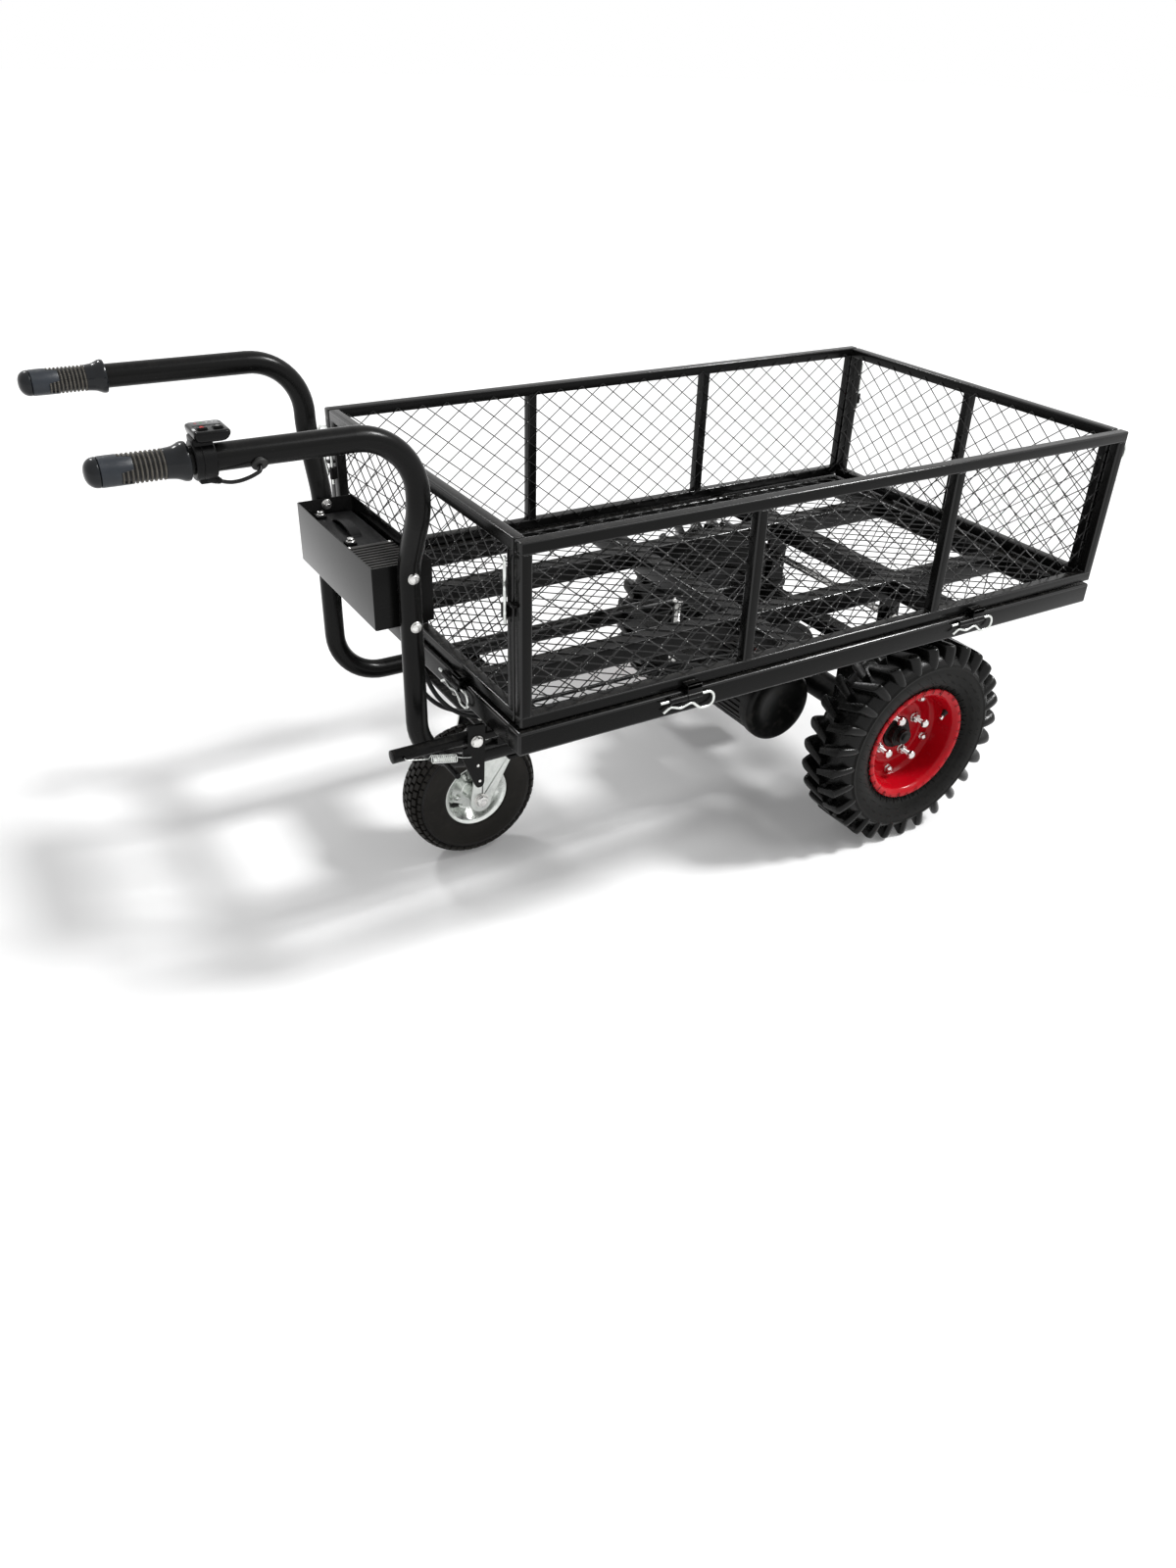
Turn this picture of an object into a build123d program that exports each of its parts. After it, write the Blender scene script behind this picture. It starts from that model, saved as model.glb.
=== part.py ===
"""Electric wheelbarrow: three-wheeled cart with a tipping mesh bed, in millimetres.

+X points the way the cart is pushed, +Y to the operator's left, +Z up.
The origin lies on the ground under the middle of the whole cart.
"""
from build123d import *
import math
import os

# Overall layout
BED_LENGTH = 1290
BED_WIDTH = 790
BED_TOP = 480
GRIP_REACH = 516
AXLE_FROM_BED_END = 890
TYRE_RADIUS = 213
CASTER_RADIUS = 134
PANEL_HEIGHT = 300

# Fits
RUNNING = 0.05
BODY_GAP = 0.5

# Bed frame
RAIL = 40
RAIL_WALL = 2
JOIST_Y = 183
MID_RAIL_FROM_END = 580
PIVOT_FROM_END = 965
VENT_RADIUS = 3

# Panels
PANEL_TUBE = 20
PANEL_WALL = 1.5
PANEL_INSET = 8
TAIL_OUT = 8
PANEL_LIFT = 2
SHEET = 2.5
FLOOR_SHEET = 3
DIAMOND_LENGTH = 50
DIAMOND_HEIGHT = 39
DIAMOND_GAP = 0.92

# Panel hinges and hairpin clips
KNUCKLE_RADIUS = 6
KNUCKLE_OUT = 6.5
KNUCKLE_DROP = 8
CLIP_WIRE = 2.5
CLIP_BOW = 27.5
CLIP_TURN = 63

# Handle tubes
TUBE_RADIUS = 18
TUBE_WALL = 2.5
GRIP_Y = 238
GRIP_Z = 907
GRIP_LENGTH = 126
GRIP_END_RADIUS = 15
POST_Y = 187
POST_BACK = 78
RUN_Z = 330
TOP_BEND = 90
FOOT_BEND = 90
KINK_BEND = 80

# Wheels
DRIVE_Y = 345
TYRE_WIDTH = 112
RIM_RADIUS = 119
LUGS = 28
CASTER_AXLE_FROM_END = 100
SWIVEL_FROM_END = 150
CASTER_WIDTH = 80

# Reduction gears
MODULE = 2.5
RING_TEETH = 60
IDLER_TEETH = 24
PINION_TEETH = 18
GEAR_TILT = 4.4
GEAR_Y = 40
GEAR_FACE = 20

# Places worked out from the layout
TAIL_REACH = TAIL_OUT + KNUCKLE_OUT + CLIP_BOW * math.cos(math.radians(CLIP_TURN)) + CLIP_WIRE
X0 = (GRIP_REACH - BED_LENGTH - TAIL_REACH) / 2
X1 = X0 + BED_LENGTH
HANDLE_END_FACE = X0 + PANEL_INSET
TAIL_FACE = X1 + TAIL_OUT
HALF_WIDTH = BED_WIDTH / 2
RAIL_BOTTOM = BED_TOP - RAIL
PANEL_BASE = BED_TOP + PANEL_LIFT
PANEL_TOP = BED_TOP + PANEL_HEIGHT
PANEL_FACE = HALF_WIDTH - PANEL_INSET
END_HALF = PANEL_FACE - PANEL_TUBE - SHEET - 1.5
HINGE_Z = BED_TOP - KNUCKLE_DROP
POST_X = X0 - POST_BACK
AXLE_X = X0 + AXLE_FROM_BED_END
AXLE_Z = TYRE_RADIUS
PIVOT_X = X0 + PIVOT_FROM_END
PIVOT_Z = RAIL_BOTTOM - 45
SWIVEL_X = X0 + SWIVEL_FROM_END
CASTER_X = X0 + CASTER_AXLE_FROM_END
CASTER_Z = CASTER_RADIUS
RUN_END = X0 + PIVOT_FROM_END + 25

nodes = {}


def box(x0, x1, y0, y1, z0, z1):
    """Block between two corners."""
    return Pos((x0 + x1) / 2, (y0 + y1) / 2, (z0 + z1) / 2) * Box(x1 - x0, y1 - y0, z1 - z0)


def rod(start, end, radius):
    """Round bar from one point to another."""
    run = Vector(*end) - Vector(*start)
    return Solid.make_cylinder(radius, run.length, Plane(origin=start, z_dir=run))


def pipe(start, end, radius, bore):
    """Straight tube from one point to another."""
    return rod(start, end, radius) - rod(start, end, bore)


def union(shapes):
    """One part from many that touch."""
    shapes = list(shapes)
    return Part() + shapes if len(shapes) > 1 else shapes[0]


def group(shapes):
    """Separate solids that share a node."""
    return Compound(children=[solid for shape in shapes for solid in shape.solids()])


def both_sides(shape):
    """The shape and its mirror image across the cart's middle plane."""
    return [shape, mirror(shape, Plane.XZ)]


def swept(points, radii, section):
    """A section drawn along straight runs joined by tangent arcs."""
    path = FilletPolyline(*points, radius=radii)
    return sweep(Plane(origin=path @ 0, z_dir=path % 0) * section, path=path)


def spun(outline, centre, outward):
    """A closed outline of (across, radius) points turned about a wheel axis along Y."""
    face = make_face(Polyline(*[(radius, across) for across, radius in outline], close=True))
    wheel = revolve(Plane.XZ * Pos(0, 0) * face, Axis.Z)
    turn = Rot(-90, 0, 0) if outward > 0 else Rot(90, 0, 0)
    return Pos(*centre) * turn * wheel


def hollow(x0, x1, y0, y1, z0, z1, wall, vent):
    """Outer block, cavity and weld vent of one closed tube of a welded frame."""
    outer = box(x0, x1, y0, y1, z0, z1)
    cavity = box(x0 + wall, x1 - wall, y0 + wall, y1 - wall, z0 + wall, z1 - wall)
    middle = Vector((x0 + x1) / 2, (y0 + y1) / 2, (z0 + z1) / 2)
    reach = Vector(vent[0] * (x1 - x0), vent[1] * (y1 - y0), vent[2] * (z1 - z0))
    drill = rod(tuple(middle), tuple(middle + reach), VENT_RADIUS)
    return outer, cavity + drill


def welded(members):
    """A frame of closed tubes: all the walls less all the cavities."""
    walls = union(outer for outer, _ in members)
    return walls - [cavity for _, cavity in members]


def diamond_net(length, height, thickness):
    """Flat net of staggered diamond gaps, centred on the origin and lying in XY."""
    columns = round(length / DIAMOND_LENGTH)
    rows = round(height / DIAMOND_HEIGHT)
    step_x = length / columns
    step_y = height / rows
    centres = [(i + 0.5, j + 0.5) for i in range(columns) for j in range(rows)]
    centres += [(i, j) for i in range(1, columns) for j in range(1, rows)]
    rim = 4
    border = Wire.make_rect(length + 2 * rim, height + 2 * rim)
    gaps = []
    for i, j in centres:
        x = i * step_x - length / 2
        y = j * step_y - height / 2
        half_x = DIAMOND_GAP * step_x / 2
        half_y = DIAMOND_GAP * step_y / 2
        corners = [(x - half_x, y), (x, y - half_y), (x + half_x, y), (x, y + half_y)]
        gaps.append(Wire.make_polygon(corners, close=True))
    return extrude(Face(border, gaps), thickness, dir=(0, 0, 1))


def hex_bolt(head, tip, shank, across, thickness):
    """Bolt with a hexagon head at one end and a nut at the other."""
    run = (Vector(*tip) - Vector(*head)).normalized()
    hexagon = RegularPolygon(across / 2, 6, major_radius=False)
    top = extrude(Plane(origin=head, z_dir=run) * hexagon, thickness)
    bottom = extrude(Plane(origin=tip, z_dir=-run) * hexagon, thickness)
    return union([rod(head, tip, shank), top, bottom])


# Hairpin clip: straight leg along +X through the knuckles, springy leg below it
CLIP_POINTS = [
    (-57, 0), (50, 0), (50, -CLIP_BOW), (24, -CLIP_BOW), (6, -11.5), (-16, -18), (-36, -10.5), (-50, -19),
]
CLIP_RADII = [13, 13, 14, 12, 14, 10]


def hairpin():
    """Hairpin clip of round wire, lying in the XZ plane."""
    points = [(x, 0, z) for x, z in CLIP_POINTS]
    return swept(points, CLIP_RADII, Circle(CLIP_WIRE))


# Each hinge: a knuckle on the bed, one on the panel beside it, and the clip through both
BED_KNUCKLE = (-40, -6)
PANEL_KNUCKLE = (-5.5, 24)


def bed_knuckle():
    """Knuckle welded to the rail face, axis along X at the origin, rail on the +Y side."""
    start, end = BED_KNUCKLE
    foot = box(start, end, 0, KNUCKLE_OUT + 1, -5, 5)
    return union([rod((start, 0, 0), (end, 0, 0), KNUCKLE_RADIUS), foot]) - clip_bore()


def panel_knuckle():
    """Knuckle with the strap that carries the panel's bottom tube, panel on the +Y side."""
    start, end = PANEL_KNUCKLE
    face = KNUCKLE_OUT + PANEL_INSET
    upright = box(start, end, -2.5, KNUCKLE_OUT - 1, 0, 20)
    shelf = box(start, end, -2.5, face + 1, 12, 20)
    barrel = rod((start, 0, 0), (end, 0, 0), KNUCKLE_RADIUS)
    return union([barrel, upright, shelf]) - clip_bore()


def tail_knuckle():
    """Knuckle right under the bottom tube of the tail panel."""
    start, end = PANEL_KNUCKLE
    neck = box(start, end, -2.5, KNUCKLE_OUT - 1, 0, PANEL_BASE - HINGE_Z + 1)
    barrel = rod((start, 0, 0), (end, 0, 0), KNUCKLE_RADIUS)
    return union([barrel, neck]) - clip_bore()


def clip_bore():
    """Running bore for the clip's straight leg."""
    return rod((-60, 0, 0), (60, 0, 0), CLIP_WIRE + RUNNING)


SIDE_HINGES = [X0 + 311, X0 + 961]
END_HINGES = [-182, 182]


def hinge_places(edge):
    """Where the hinges of one bed edge stand: X along the edge, +Y towards the bed."""
    out = HALF_WIDTH + KNUCKLE_OUT
    if edge == "right":
        return [Pos(x, -out, HINGE_Z) for x in SIDE_HINGES]
    if edge == "left":
        return [Pos(x, out, HINGE_Z) * Rot(0, 0, 180) for x in SIDE_HINGES]
    if edge == "tail":
        return [Pos(X1 + KNUCKLE_OUT, y, HINGE_Z) * Rot(0, 0, 90) for y in END_HINGES]
    return [Pos(X0 - KNUCKLE_OUT, y, HINGE_Z) * Rot(0, 0, -90) for y in END_HINGES]


EDGES = ["right", "left", "tail", "handle_end"]


def bed_frame():
    """Perimeter rails, joists and cross rails, with pivot lugs and hinge knuckles."""
    low = RAIL_BOTTOM
    top = BED_TOP
    inner = HALF_WIDTH - RAIL
    joist_in = JOIST_Y - RAIL / 2
    joist_out = JOIST_Y + RAIL / 2
    down = (0, 0, -1)
    spans = []
    for y0, y1 in [(-HALF_WIDTH, -inner), (inner, HALF_WIDTH)]:
        spans.append((X0, X1, y0, y1))
    for x0 in [X0, X1 - RAIL]:
        spans.append((x0, x0 + RAIL, -inner, inner))
    for y0, y1 in [(-joist_out, -joist_in), (joist_in, joist_out)]:
        spans.append((X0 + RAIL, X1 - RAIL, y0, y1))
    for middle in [X0 + MID_RAIL_FROM_END, PIVOT_X]:
        x0 = middle - RAIL / 2
        spans.append((x0, x0 + RAIL, -joist_in, joist_in))
        spans.append((x0, x0 + RAIL, joist_out, inner))
        spans.append((x0, x0 + RAIL, -inner, -joist_out))
    frame = welded([hollow(*span, low, top, RAIL_WALL, down) for span in spans])
    lug = box(PIVOT_X - 25, PIVOT_X + 25, JOIST_Y - 5, JOIST_Y + 5, PIVOT_Z, low)
    lug += rod((PIVOT_X, JOIST_Y - 5, PIVOT_Z), (PIVOT_X, JOIST_Y + 5, PIVOT_Z), 25)
    lug -= rod((PIVOT_X, JOIST_Y - 9, PIVOT_Z), (PIVOT_X, JOIST_Y + 9, PIVOT_Z), PIN_RADIUS + RUNNING)
    knuckles = [place * bed_knuckle() for edge in EDGES for place in hinge_places(edge)]
    return union([frame] + both_sides(lug) + knuckles)


def panel_frame(length, posts):
    """Panel of closed tubes: X along it, outer face at Y=0, body towards +Y, base at Z=0."""
    tall = PANEL_TOP - PANEL_BASE
    tube = PANEL_TUBE
    half = length / 2
    down = (0, 0, -1)
    inward = (0, 1, 0)
    members = []
    for z0 in [0, tall - tube]:
        members.append(hollow(-half, half, 0, tube, z0, z0 + tube, PANEL_WALL, down))
    for x in [tube / 2 - half, *posts, half - tube / 2]:
        members.append(hollow(x - tube / 2, x + tube / 2, 0, tube, tube, tall - tube, PANEL_WALL, inward))
    return welded(members)


def panel_net(length):
    """Mesh of a panel, on the inner face of its frame."""
    tall = PANEL_TOP - PANEL_BASE
    net = diamond_net(length - 24, tall - 24, SHEET)
    return Pos(0, PANEL_TUBE + SHEET, tall / 2) * Rot(90, 0, 0) * net


SIDE_LENGTH = TAIL_FACE - HANDLE_END_FACE
SIDE_MIDDLE = (TAIL_FACE + HANDLE_END_FACE) / 2
SIDE_POSTS = [-SIDE_LENGTH / 6, SIDE_LENGTH / 6]
SIDE_PLACES = {
    "right": Pos(SIDE_MIDDLE, -PANEL_FACE, PANEL_BASE),
    "left": Pos(SIDE_MIDDLE, PANEL_FACE, PANEL_BASE) * Rot(0, 0, 180),
}
END_PLACES = {
    "tail": Pos(TAIL_FACE, 0, PANEL_BASE) * Rot(0, 0, 90),
    "handle_end": Pos(HANDLE_END_FACE, 0, PANEL_BASE) * Rot(0, 0, -90),
}

# Upright corner clips on the end panels
CORNER_Y = 350
CORNER_CLIP_Z = PANEL_TOP - 77
CORNER_Z = CORNER_CLIP_Z - 36
CORNER_KNUCKLE = 22
CORNER_TAB_Z = CORNER_Z + CORNER_KNUCKLE / 2 + 3


def corner_x(edge):
    """X of the corner clips of an end panel."""
    return TAIL_FACE + KNUCKLE_OUT if edge == "tail" else HANDLE_END_FACE - KNUCKLE_OUT


def corner_knuckles(edge):
    """Upright knuckles welded to the outer face of an end panel."""
    x = corner_x(edge)
    inwards = -1 if edge == "tail" else 1
    low = CORNER_Z - CORNER_KNUCKLE / 2
    high = CORNER_Z + CORNER_KNUCKLE / 2
    shapes = []
    for y in [-CORNER_Y, CORNER_Y]:
        near = x
        far = x + inwards * (KNUCKLE_OUT + 1)
        foot = box(min(near, far), max(near, far), y - 5, y + 5, low, high)
        barrel = rod((x, y, low), (x, y, high), KNUCKLE_RADIUS)
        shapes.append(union([barrel, foot]) - rod((x, y, low - 9), (x, y, high + 9), CLIP_WIRE + RUNNING))
    return shapes


def corner_clips(edge):
    """Hairpin clips standing in the corner knuckles, bows upward and turned to the corner."""
    clips = []
    for side in [-1, 1]:
        turn = side * CLIP_TURN if edge == "tail" else 180 - side * CLIP_TURN
        place = Pos(corner_x(edge), side * CORNER_Y, CORNER_CLIP_Z)
        clips.append(place * Rot(0, 0, turn) * Rot(0, -90, 0) * hairpin())
    return clips


def corner_tab(edge, side):
    """Finger on a side panel beside the corner clip, short of the end panel."""
    x = corner_x(edge)
    face = TAIL_FACE if edge == "tail" else HANDLE_END_FACE
    reach = END_HALF + 1
    x_far = x + 3 if edge == "tail" else x - 3
    tab = box(min(face, x_far), max(face, x_far), reach, PANEL_FACE - 7, CORNER_TAB_Z, CORNER_TAB_Z + 4)
    return tab if side == "left" else mirror(tab, Plane.XZ)


def side_panel(side):
    """Side panel frame with hinge straps and corner fingers."""
    frame = SIDE_PLACES[side] * panel_frame(SIDE_LENGTH, SIDE_POSTS)
    straps = [place * panel_knuckle() for place in hinge_places(side)]
    tabs = [corner_tab(edge, side) for edge in END_PLACES]
    return union([frame] + straps + tabs)


def end_panel(edge):
    """End panel frame with hinge straps and upright corner knuckles."""
    frame = END_PLACES[edge] * panel_frame(2 * END_HALF, [0])
    strap = tail_knuckle() if edge == "tail" else panel_knuckle()
    straps = [place * strap for place in hinge_places(edge)]
    return union([frame] + straps + corner_knuckles(edge))


# Battery box between the handle tubes
BOX_FRONT = X0 - 130
BOX_BACK = X0 - 30
BOX_HALF = POST_Y - TUBE_RADIUS - 1
BOX_LOW = 584
BOX_HIGH = 687
BOX_WALL = 2
BOX_BOLT_Z = [596, 676]
BOLT_RADIUS = 4


def box_bolt_lines():
    """Start outside a handle tube and end inside the box, for each box bolt."""
    outside = POST_Y + TUBE_RADIUS + 7.5
    inside = BOX_HALF - 10
    lines = []
    for z in BOX_BOLT_Z:
        for side in [-1, 1]:
            lines.append(((POST_X, side * outside, z), (POST_X, side * inside, z)))
    return lines


def box_bolt_bores():
    """Clearance for the box bolts."""
    return [rod(start, end, BOLT_RADIUS + RUNNING) for start, end in box_bolt_lines()]


# Latch of the tipping bed, beside the right handle tube
LIFT_BAR_Y = -270
LIFT_BAR_Z = 419
LIFT_BAR_RADIUS = 11
LIFT_BAR_BACK = 158
LEVER_Y = -288
LEVER_THICK = 5
LEVER_X = X0 - 19
LEVER_Z = LIFT_BAR_Z
LEVER_BOLT = 5
CATCH_X = X0 - 56
CATCH_Z = 366
CATCH_RADIUS = 5
SPRING_EYE = (X0 - 30, 394)
SPRING_ANCHOR = (X0 - 142, 420)
SPRING_Y = -291
SPRING_WIRE = 0.9
SPRING_RADIUS = 6.6
SPRING_TURNS = 13
SPRING_PITCH = 3.3
SPRING_HOOK = 28
PIN_RADIUS = 8


def handle_tube(side):
    """Bent tube: thinner grip end, top run, bend, kink, upright, foot bend and run under the bed."""
    back = X0 - GRIP_REACH + 9
    shoulder = X0 - GRIP_REACH + GRIP_LENGTH + 1
    points = [
        (shoulder, side * GRIP_Y, GRIP_Z),
        (POST_X, side * GRIP_Y, GRIP_Z),
        (POST_X, side * GRIP_Y, GRIP_Z - 117),
        (POST_X, side * POST_Y, GRIP_Z - 217),
        (POST_X, side * POST_Y, RUN_Z),
        (RUN_END, side * POST_Y, RUN_Z),
    ]
    section = Circle(TUBE_RADIUS) - Circle(TUBE_RADIUS - TUBE_WALL)
    tube = swept(points, [TOP_BEND, KINK_BEND, KINK_BEND, FOOT_BEND], section)
    hollow = GRIP_END_RADIUS - TUBE_WALL
    inside = (shoulder + 4, side * GRIP_Y, GRIP_Z)
    grip_end = pipe((back, side * GRIP_Y, GRIP_Z), inside, GRIP_END_RADIUS, hollow)
    step = pipe((shoulder, side * GRIP_Y, GRIP_Z), inside, TUBE_RADIUS, hollow)
    tube = union([tube, grip_end, step])
    tube -= box_bolt_bores()
    if side < 0:
        tube -= rod((CATCH_X, LEVER_Y, CATCH_Z), (CATCH_X, -POST_Y, CATCH_Z), CATCH_RADIUS + RUNNING)
    return tube


def run_saddle():
    """Room for both tubes under the bed, with a weld gap."""
    return [rod((X0, y, RUN_Z), (RUN_END + 9, y, RUN_Z), TUBE_RADIUS + RUNNING) for y in [-POST_Y, POST_Y]]


REST_X = X0 + 77
REST_TOP = RAIL_BOTTOM - 10.5


def underframe_brackets():
    """Rest posts, pivot ears and cross tubes welded to the tubes under the bed."""
    posts = both_sides(box(REST_X - 15, REST_X + 15, POST_Y - 13, POST_Y + 13, RUN_Z + 5, REST_TOP))
    ears = []
    for y in [JOIST_Y - 9, JOIST_Y + 9]:
        ear = box(PIVOT_X - 18, PIVOT_X + 18, y - 3, y + 3, RUN_Z + 2, PIVOT_Z)
        ear += rod((PIVOT_X, y - 3, PIVOT_Z), (PIVOT_X, y + 3, PIVOT_Z), 18)
        ear -= rod((PIVOT_X, y - 5, PIVOT_Z), (PIVOT_X, y + 5, PIVOT_Z), PIN_RADIUS + RUNNING)
        ears += both_sides(ear)
    crossbars = []
    for x in [STOP_X, X0 + 920]:
        crossbar = box(x - 15, x + 15, 8 - POST_Y, POST_Y - 8, RUN_Z - 15, RUN_Z + 15)
        crossbars.append(crossbar - rod((x, 0, RUN_Z - 20), (x, 0, RUN_Z + 20), STOP_RADIUS + RUNNING))
    return group(shape - run_saddle() for shape in posts + ears + crossbars)


STOP_X = X0 + MID_RAIL_FROM_END - 12
STOP_RADIUS = 6


def stop_bolt():
    """Upright bolt with nuts on the middle cross tube, just under the bed."""
    top = RAIL_BOTTOM - BODY_GAP
    shank = rod((STOP_X, 0, RUN_Z - 30), (STOP_X, 0, top), STOP_RADIUS)
    hexagon = RegularPolygon(9.5, 6, major_radius=False)
    nuts = [Pos(STOP_X, 0, z) * extrude(hexagon, 10) for z in [RUN_Z + 15, RUN_Z - 25, top - 10]]
    return union([shank] + nuts)


# Swivel caster
CASTER_PLATE_TOP = RUN_Z - TUBE_RADIUS - 6
CROWN_TOP = CASTER_PLATE_TOP - 20
KING_RADIUS = 14
FORK_INSIDE = 46
FORK_PLATE = 6
CASTER_AXLE = 8
CASTER_BOLT_X = [SWIVEL_X - 45, SWIVEL_X + 45]
CASTER_BOLT_Y = [-55, 55]


def caster_bolt_lines():
    """Start above the mount plate and end under the caster plate, for each plate bolt."""
    top = CASTER_PLATE_TOP + 6 + 7
    bottom = CASTER_PLATE_TOP - 6 - 8
    return [((x, y, top), (x, y, bottom)) for x in CASTER_BOLT_X for y in CASTER_BOLT_Y]


def caster_bolt_bores():
    """Clearance for the caster plate bolts."""
    return [rod(start, end, BOLT_RADIUS + RUNNING) for start, end in caster_bolt_lines()]


def caster_mount_plate():
    """Plate welded under both tubes that carries the caster."""
    low = CASTER_PLATE_TOP
    half = POST_Y + 10
    return box(SWIVEL_X - 65, SWIVEL_X + 65, -half, half, low, low + 6) - caster_bolt_bores()


def caster_axle_bolt():
    """Bolt through the fork and the wheel's hub."""
    reach = FORK_INSIDE + FORK_PLATE + 12
    return hex_bolt((CASTER_X, -reach, CASTER_Z), (CASTER_X, reach, CASTER_Z), CASTER_AXLE, 22, 12)


def caster_top_plate():
    """Plate, upper race and king pin that hold the swivelling fork."""
    top = CASTER_PLATE_TOP
    plate = box(SWIVEL_X - 58, SWIVEL_X + 58, -70, 70, top - 6, top)
    race = rod((SWIVEL_X, 0, top - 6), (SWIVEL_X, 0, CROWN_TOP + 4.5), 40)
    king = rod((SWIVEL_X, 0, top - 6), (SWIVEL_X, 0, CROWN_TOP - 6.5), KING_RADIUS)
    nut = rod((SWIVEL_X, 0, CROWN_TOP - 6.5), (SWIVEL_X, 0, CROWN_TOP - 13), 21)
    return union([plate, race, king, nut]) - caster_bolt_bores()


def caster_fork():
    """Crown with its race and two slanting legs."""
    outside = FORK_INSIDE + FORK_PLATE
    crown = box(SWIVEL_X - 42, SWIVEL_X + 42, -outside, outside, CROWN_TOP - 6, CROWN_TOP)
    race = rod((SWIVEL_X, 0, CROWN_TOP), (SWIVEL_X, 0, CROWN_TOP + 4), 38)
    outline = [
        (SWIVEL_X - 42, CROWN_TOP),
        (SWIVEL_X + 42, CROWN_TOP),
        (SWIVEL_X + 42, CROWN_TOP - 26),
        (CASTER_X + 22, CASTER_Z - 4),
        (CASTER_X - 22, CASTER_Z - 4),
        (CASTER_X - 20, CASTER_Z + 12),
    ]
    leg_face = make_face(Polyline(*outline, close=True)) + Pos(CASTER_X, CASTER_Z - 4) * Circle(22)
    leg = Pos(0, outside, 0) * extrude(Plane.XZ * leg_face, FORK_PLATE)
    leg -= rod((CASTER_X, 0, CASTER_Z), (CASTER_X, outside + 9, CASTER_Z), CASTER_AXLE + RUNNING)
    bore = rod((SWIVEL_X, 0, CROWN_TOP - 9), (SWIVEL_X, 0, CROWN_TOP + 9), KING_RADIUS + RUNNING)
    return union([crown, race] + both_sides(leg)) - bore


def caster_tyre():
    """Rounded pneumatic tyre with a flattened tread."""
    half = CASTER_WIDTH / 2
    crown = CASTER_RADIUS
    outline = [
        (-25.8, 60.1), (-27.8, 65.2), (-33, 65.6), (-half + 3, 74), (-half, 96), (-half + 5, 116),
        (-half + 15, crown - 4), (-14, crown), (14, crown), (half - 15, crown - 4),
        (half - 5, 116), (half, 96), (half - 3, 74), (33, 65.6), (27.8, 65.2), (25.8, 60.1),
    ]
    return spun(outline, (CASTER_X, 0, CASTER_Z), 1)


def caster_rim():
    """Pressed rim with rolled lips, dished web and hub sleeve."""
    bore = CASTER_AXLE + RUNNING
    outline = [
        (-43, bore), (43, bore), (43, 16), (8, 18), (8, 42), (20, 50), (30, 58), (32, 65), (28, 65),
        (26, 60), (-26, 60), (-28, 65), (-32, 65), (-30, 58), (-20, 50), (-8, 42), (-8, 18), (-43, 16),
    ]
    return spun(outline, (CASTER_X, 0, CASTER_Z), 1)


# Drive wheels
DISC_IN = -15
HUB_STUDS = 4
FIRST_STUD = 27
STUD_CIRCLE = 50
STUD_RADIUS = 5
SHAFT_RADIUS = 12.5


def drive_tyre(side):
    """Tractor tyre: carcass with two staggered rows of slanting lugs."""
    half = TYRE_WIDTH / 2
    crown = TYRE_RADIUS - 13
    outline = [
        (-35.2, 104), (-39, 121), (-half + 4, 138), (-half, 163), (-half + 6, 184), (-half + 20, 196),
        (0, crown),
        (half - 20, 196), (half - 6, 184), (half, 163), (half - 4, 138), (39, 121), (35.2, 104),
    ]
    shape = spun(outline, (0, 0, 0), 1)
    pitch = 360 / LUGS
    lugs = []
    for row in [-1, 1]:
        foot = [(row * -4, -8), (row * (half - 3), 6), (row * (half - 3), 26), (row * -4, 6)]
        block = extrude(Plane.XY.offset(178) * make_face(Polyline(*foot, close=True)), TYRE_RADIUS - 178)
        corner = Pos(row * (half + 4), 0, TYRE_RADIUS + 4) * Rot(0, row * 45, 0) * Box(40, 80, 26)
        lug = Rot(0, 0, 90) * (block - corner)
        shift = pitch / 2 if row > 0 else 0
        lugs += [Rot(0, k * pitch + shift, 0) * lug for k in range(LUGS)]
    tyre = union([shape] + lugs) & rod((0, -half, 0), (0, half, 0), TYRE_RADIUS)
    right = Pos(AXLE_X, -DRIVE_Y, AXLE_Z) * Rot(0, 0, 180) * tyre
    return right if side < 0 else mirror(right, Plane.XZ)


def drive_rim(side):
    """Deep dished rim: outer lip, barrel, web and inner lip."""
    outline = [
        (DISC_IN, 34), (DISC_IN, 86), (DISC_IN + 9, 97), (33, 99.5), (37.5, 101.5), (41, RIM_RADIUS - 6),
        (44, RIM_RADIUS), (39.5, RIM_RADIUS + 1), (35.5, 103), (-35.5, 103), (-39.5, RIM_RADIUS + 1),
        (-44, RIM_RADIUS), (-41, RIM_RADIUS - 6), (-36, 98), (DISC_IN - 8, 98), (DISC_IN - 5, 86),
        (DISC_IN - 5, 34),
    ]
    rim = spun(outline, (AXLE_X, side * DRIVE_Y, AXLE_Z), side)
    return rim - [rod(start, end, STUD_RADIUS + RUNNING) for start, end in stud_lines(side)]


def stud_lines(side):
    """Start behind the hub flange and end outside the wheel disc, for each hub stud."""
    lines = []
    for k in range(HUB_STUDS):
        angle = math.radians(FIRST_STUD + k * 360 / HUB_STUDS)
        x = AXLE_X + STUD_CIRCLE * math.cos(angle)
        z = AXLE_Z + STUD_CIRCLE * math.sin(angle)
        inner = side * (DRIVE_Y + DISC_IN - 20)
        outer = side * (DRIVE_Y + DISC_IN + 38)
        lines.append(((x, inner, z), (x, outer, z)))
    return lines


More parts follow.
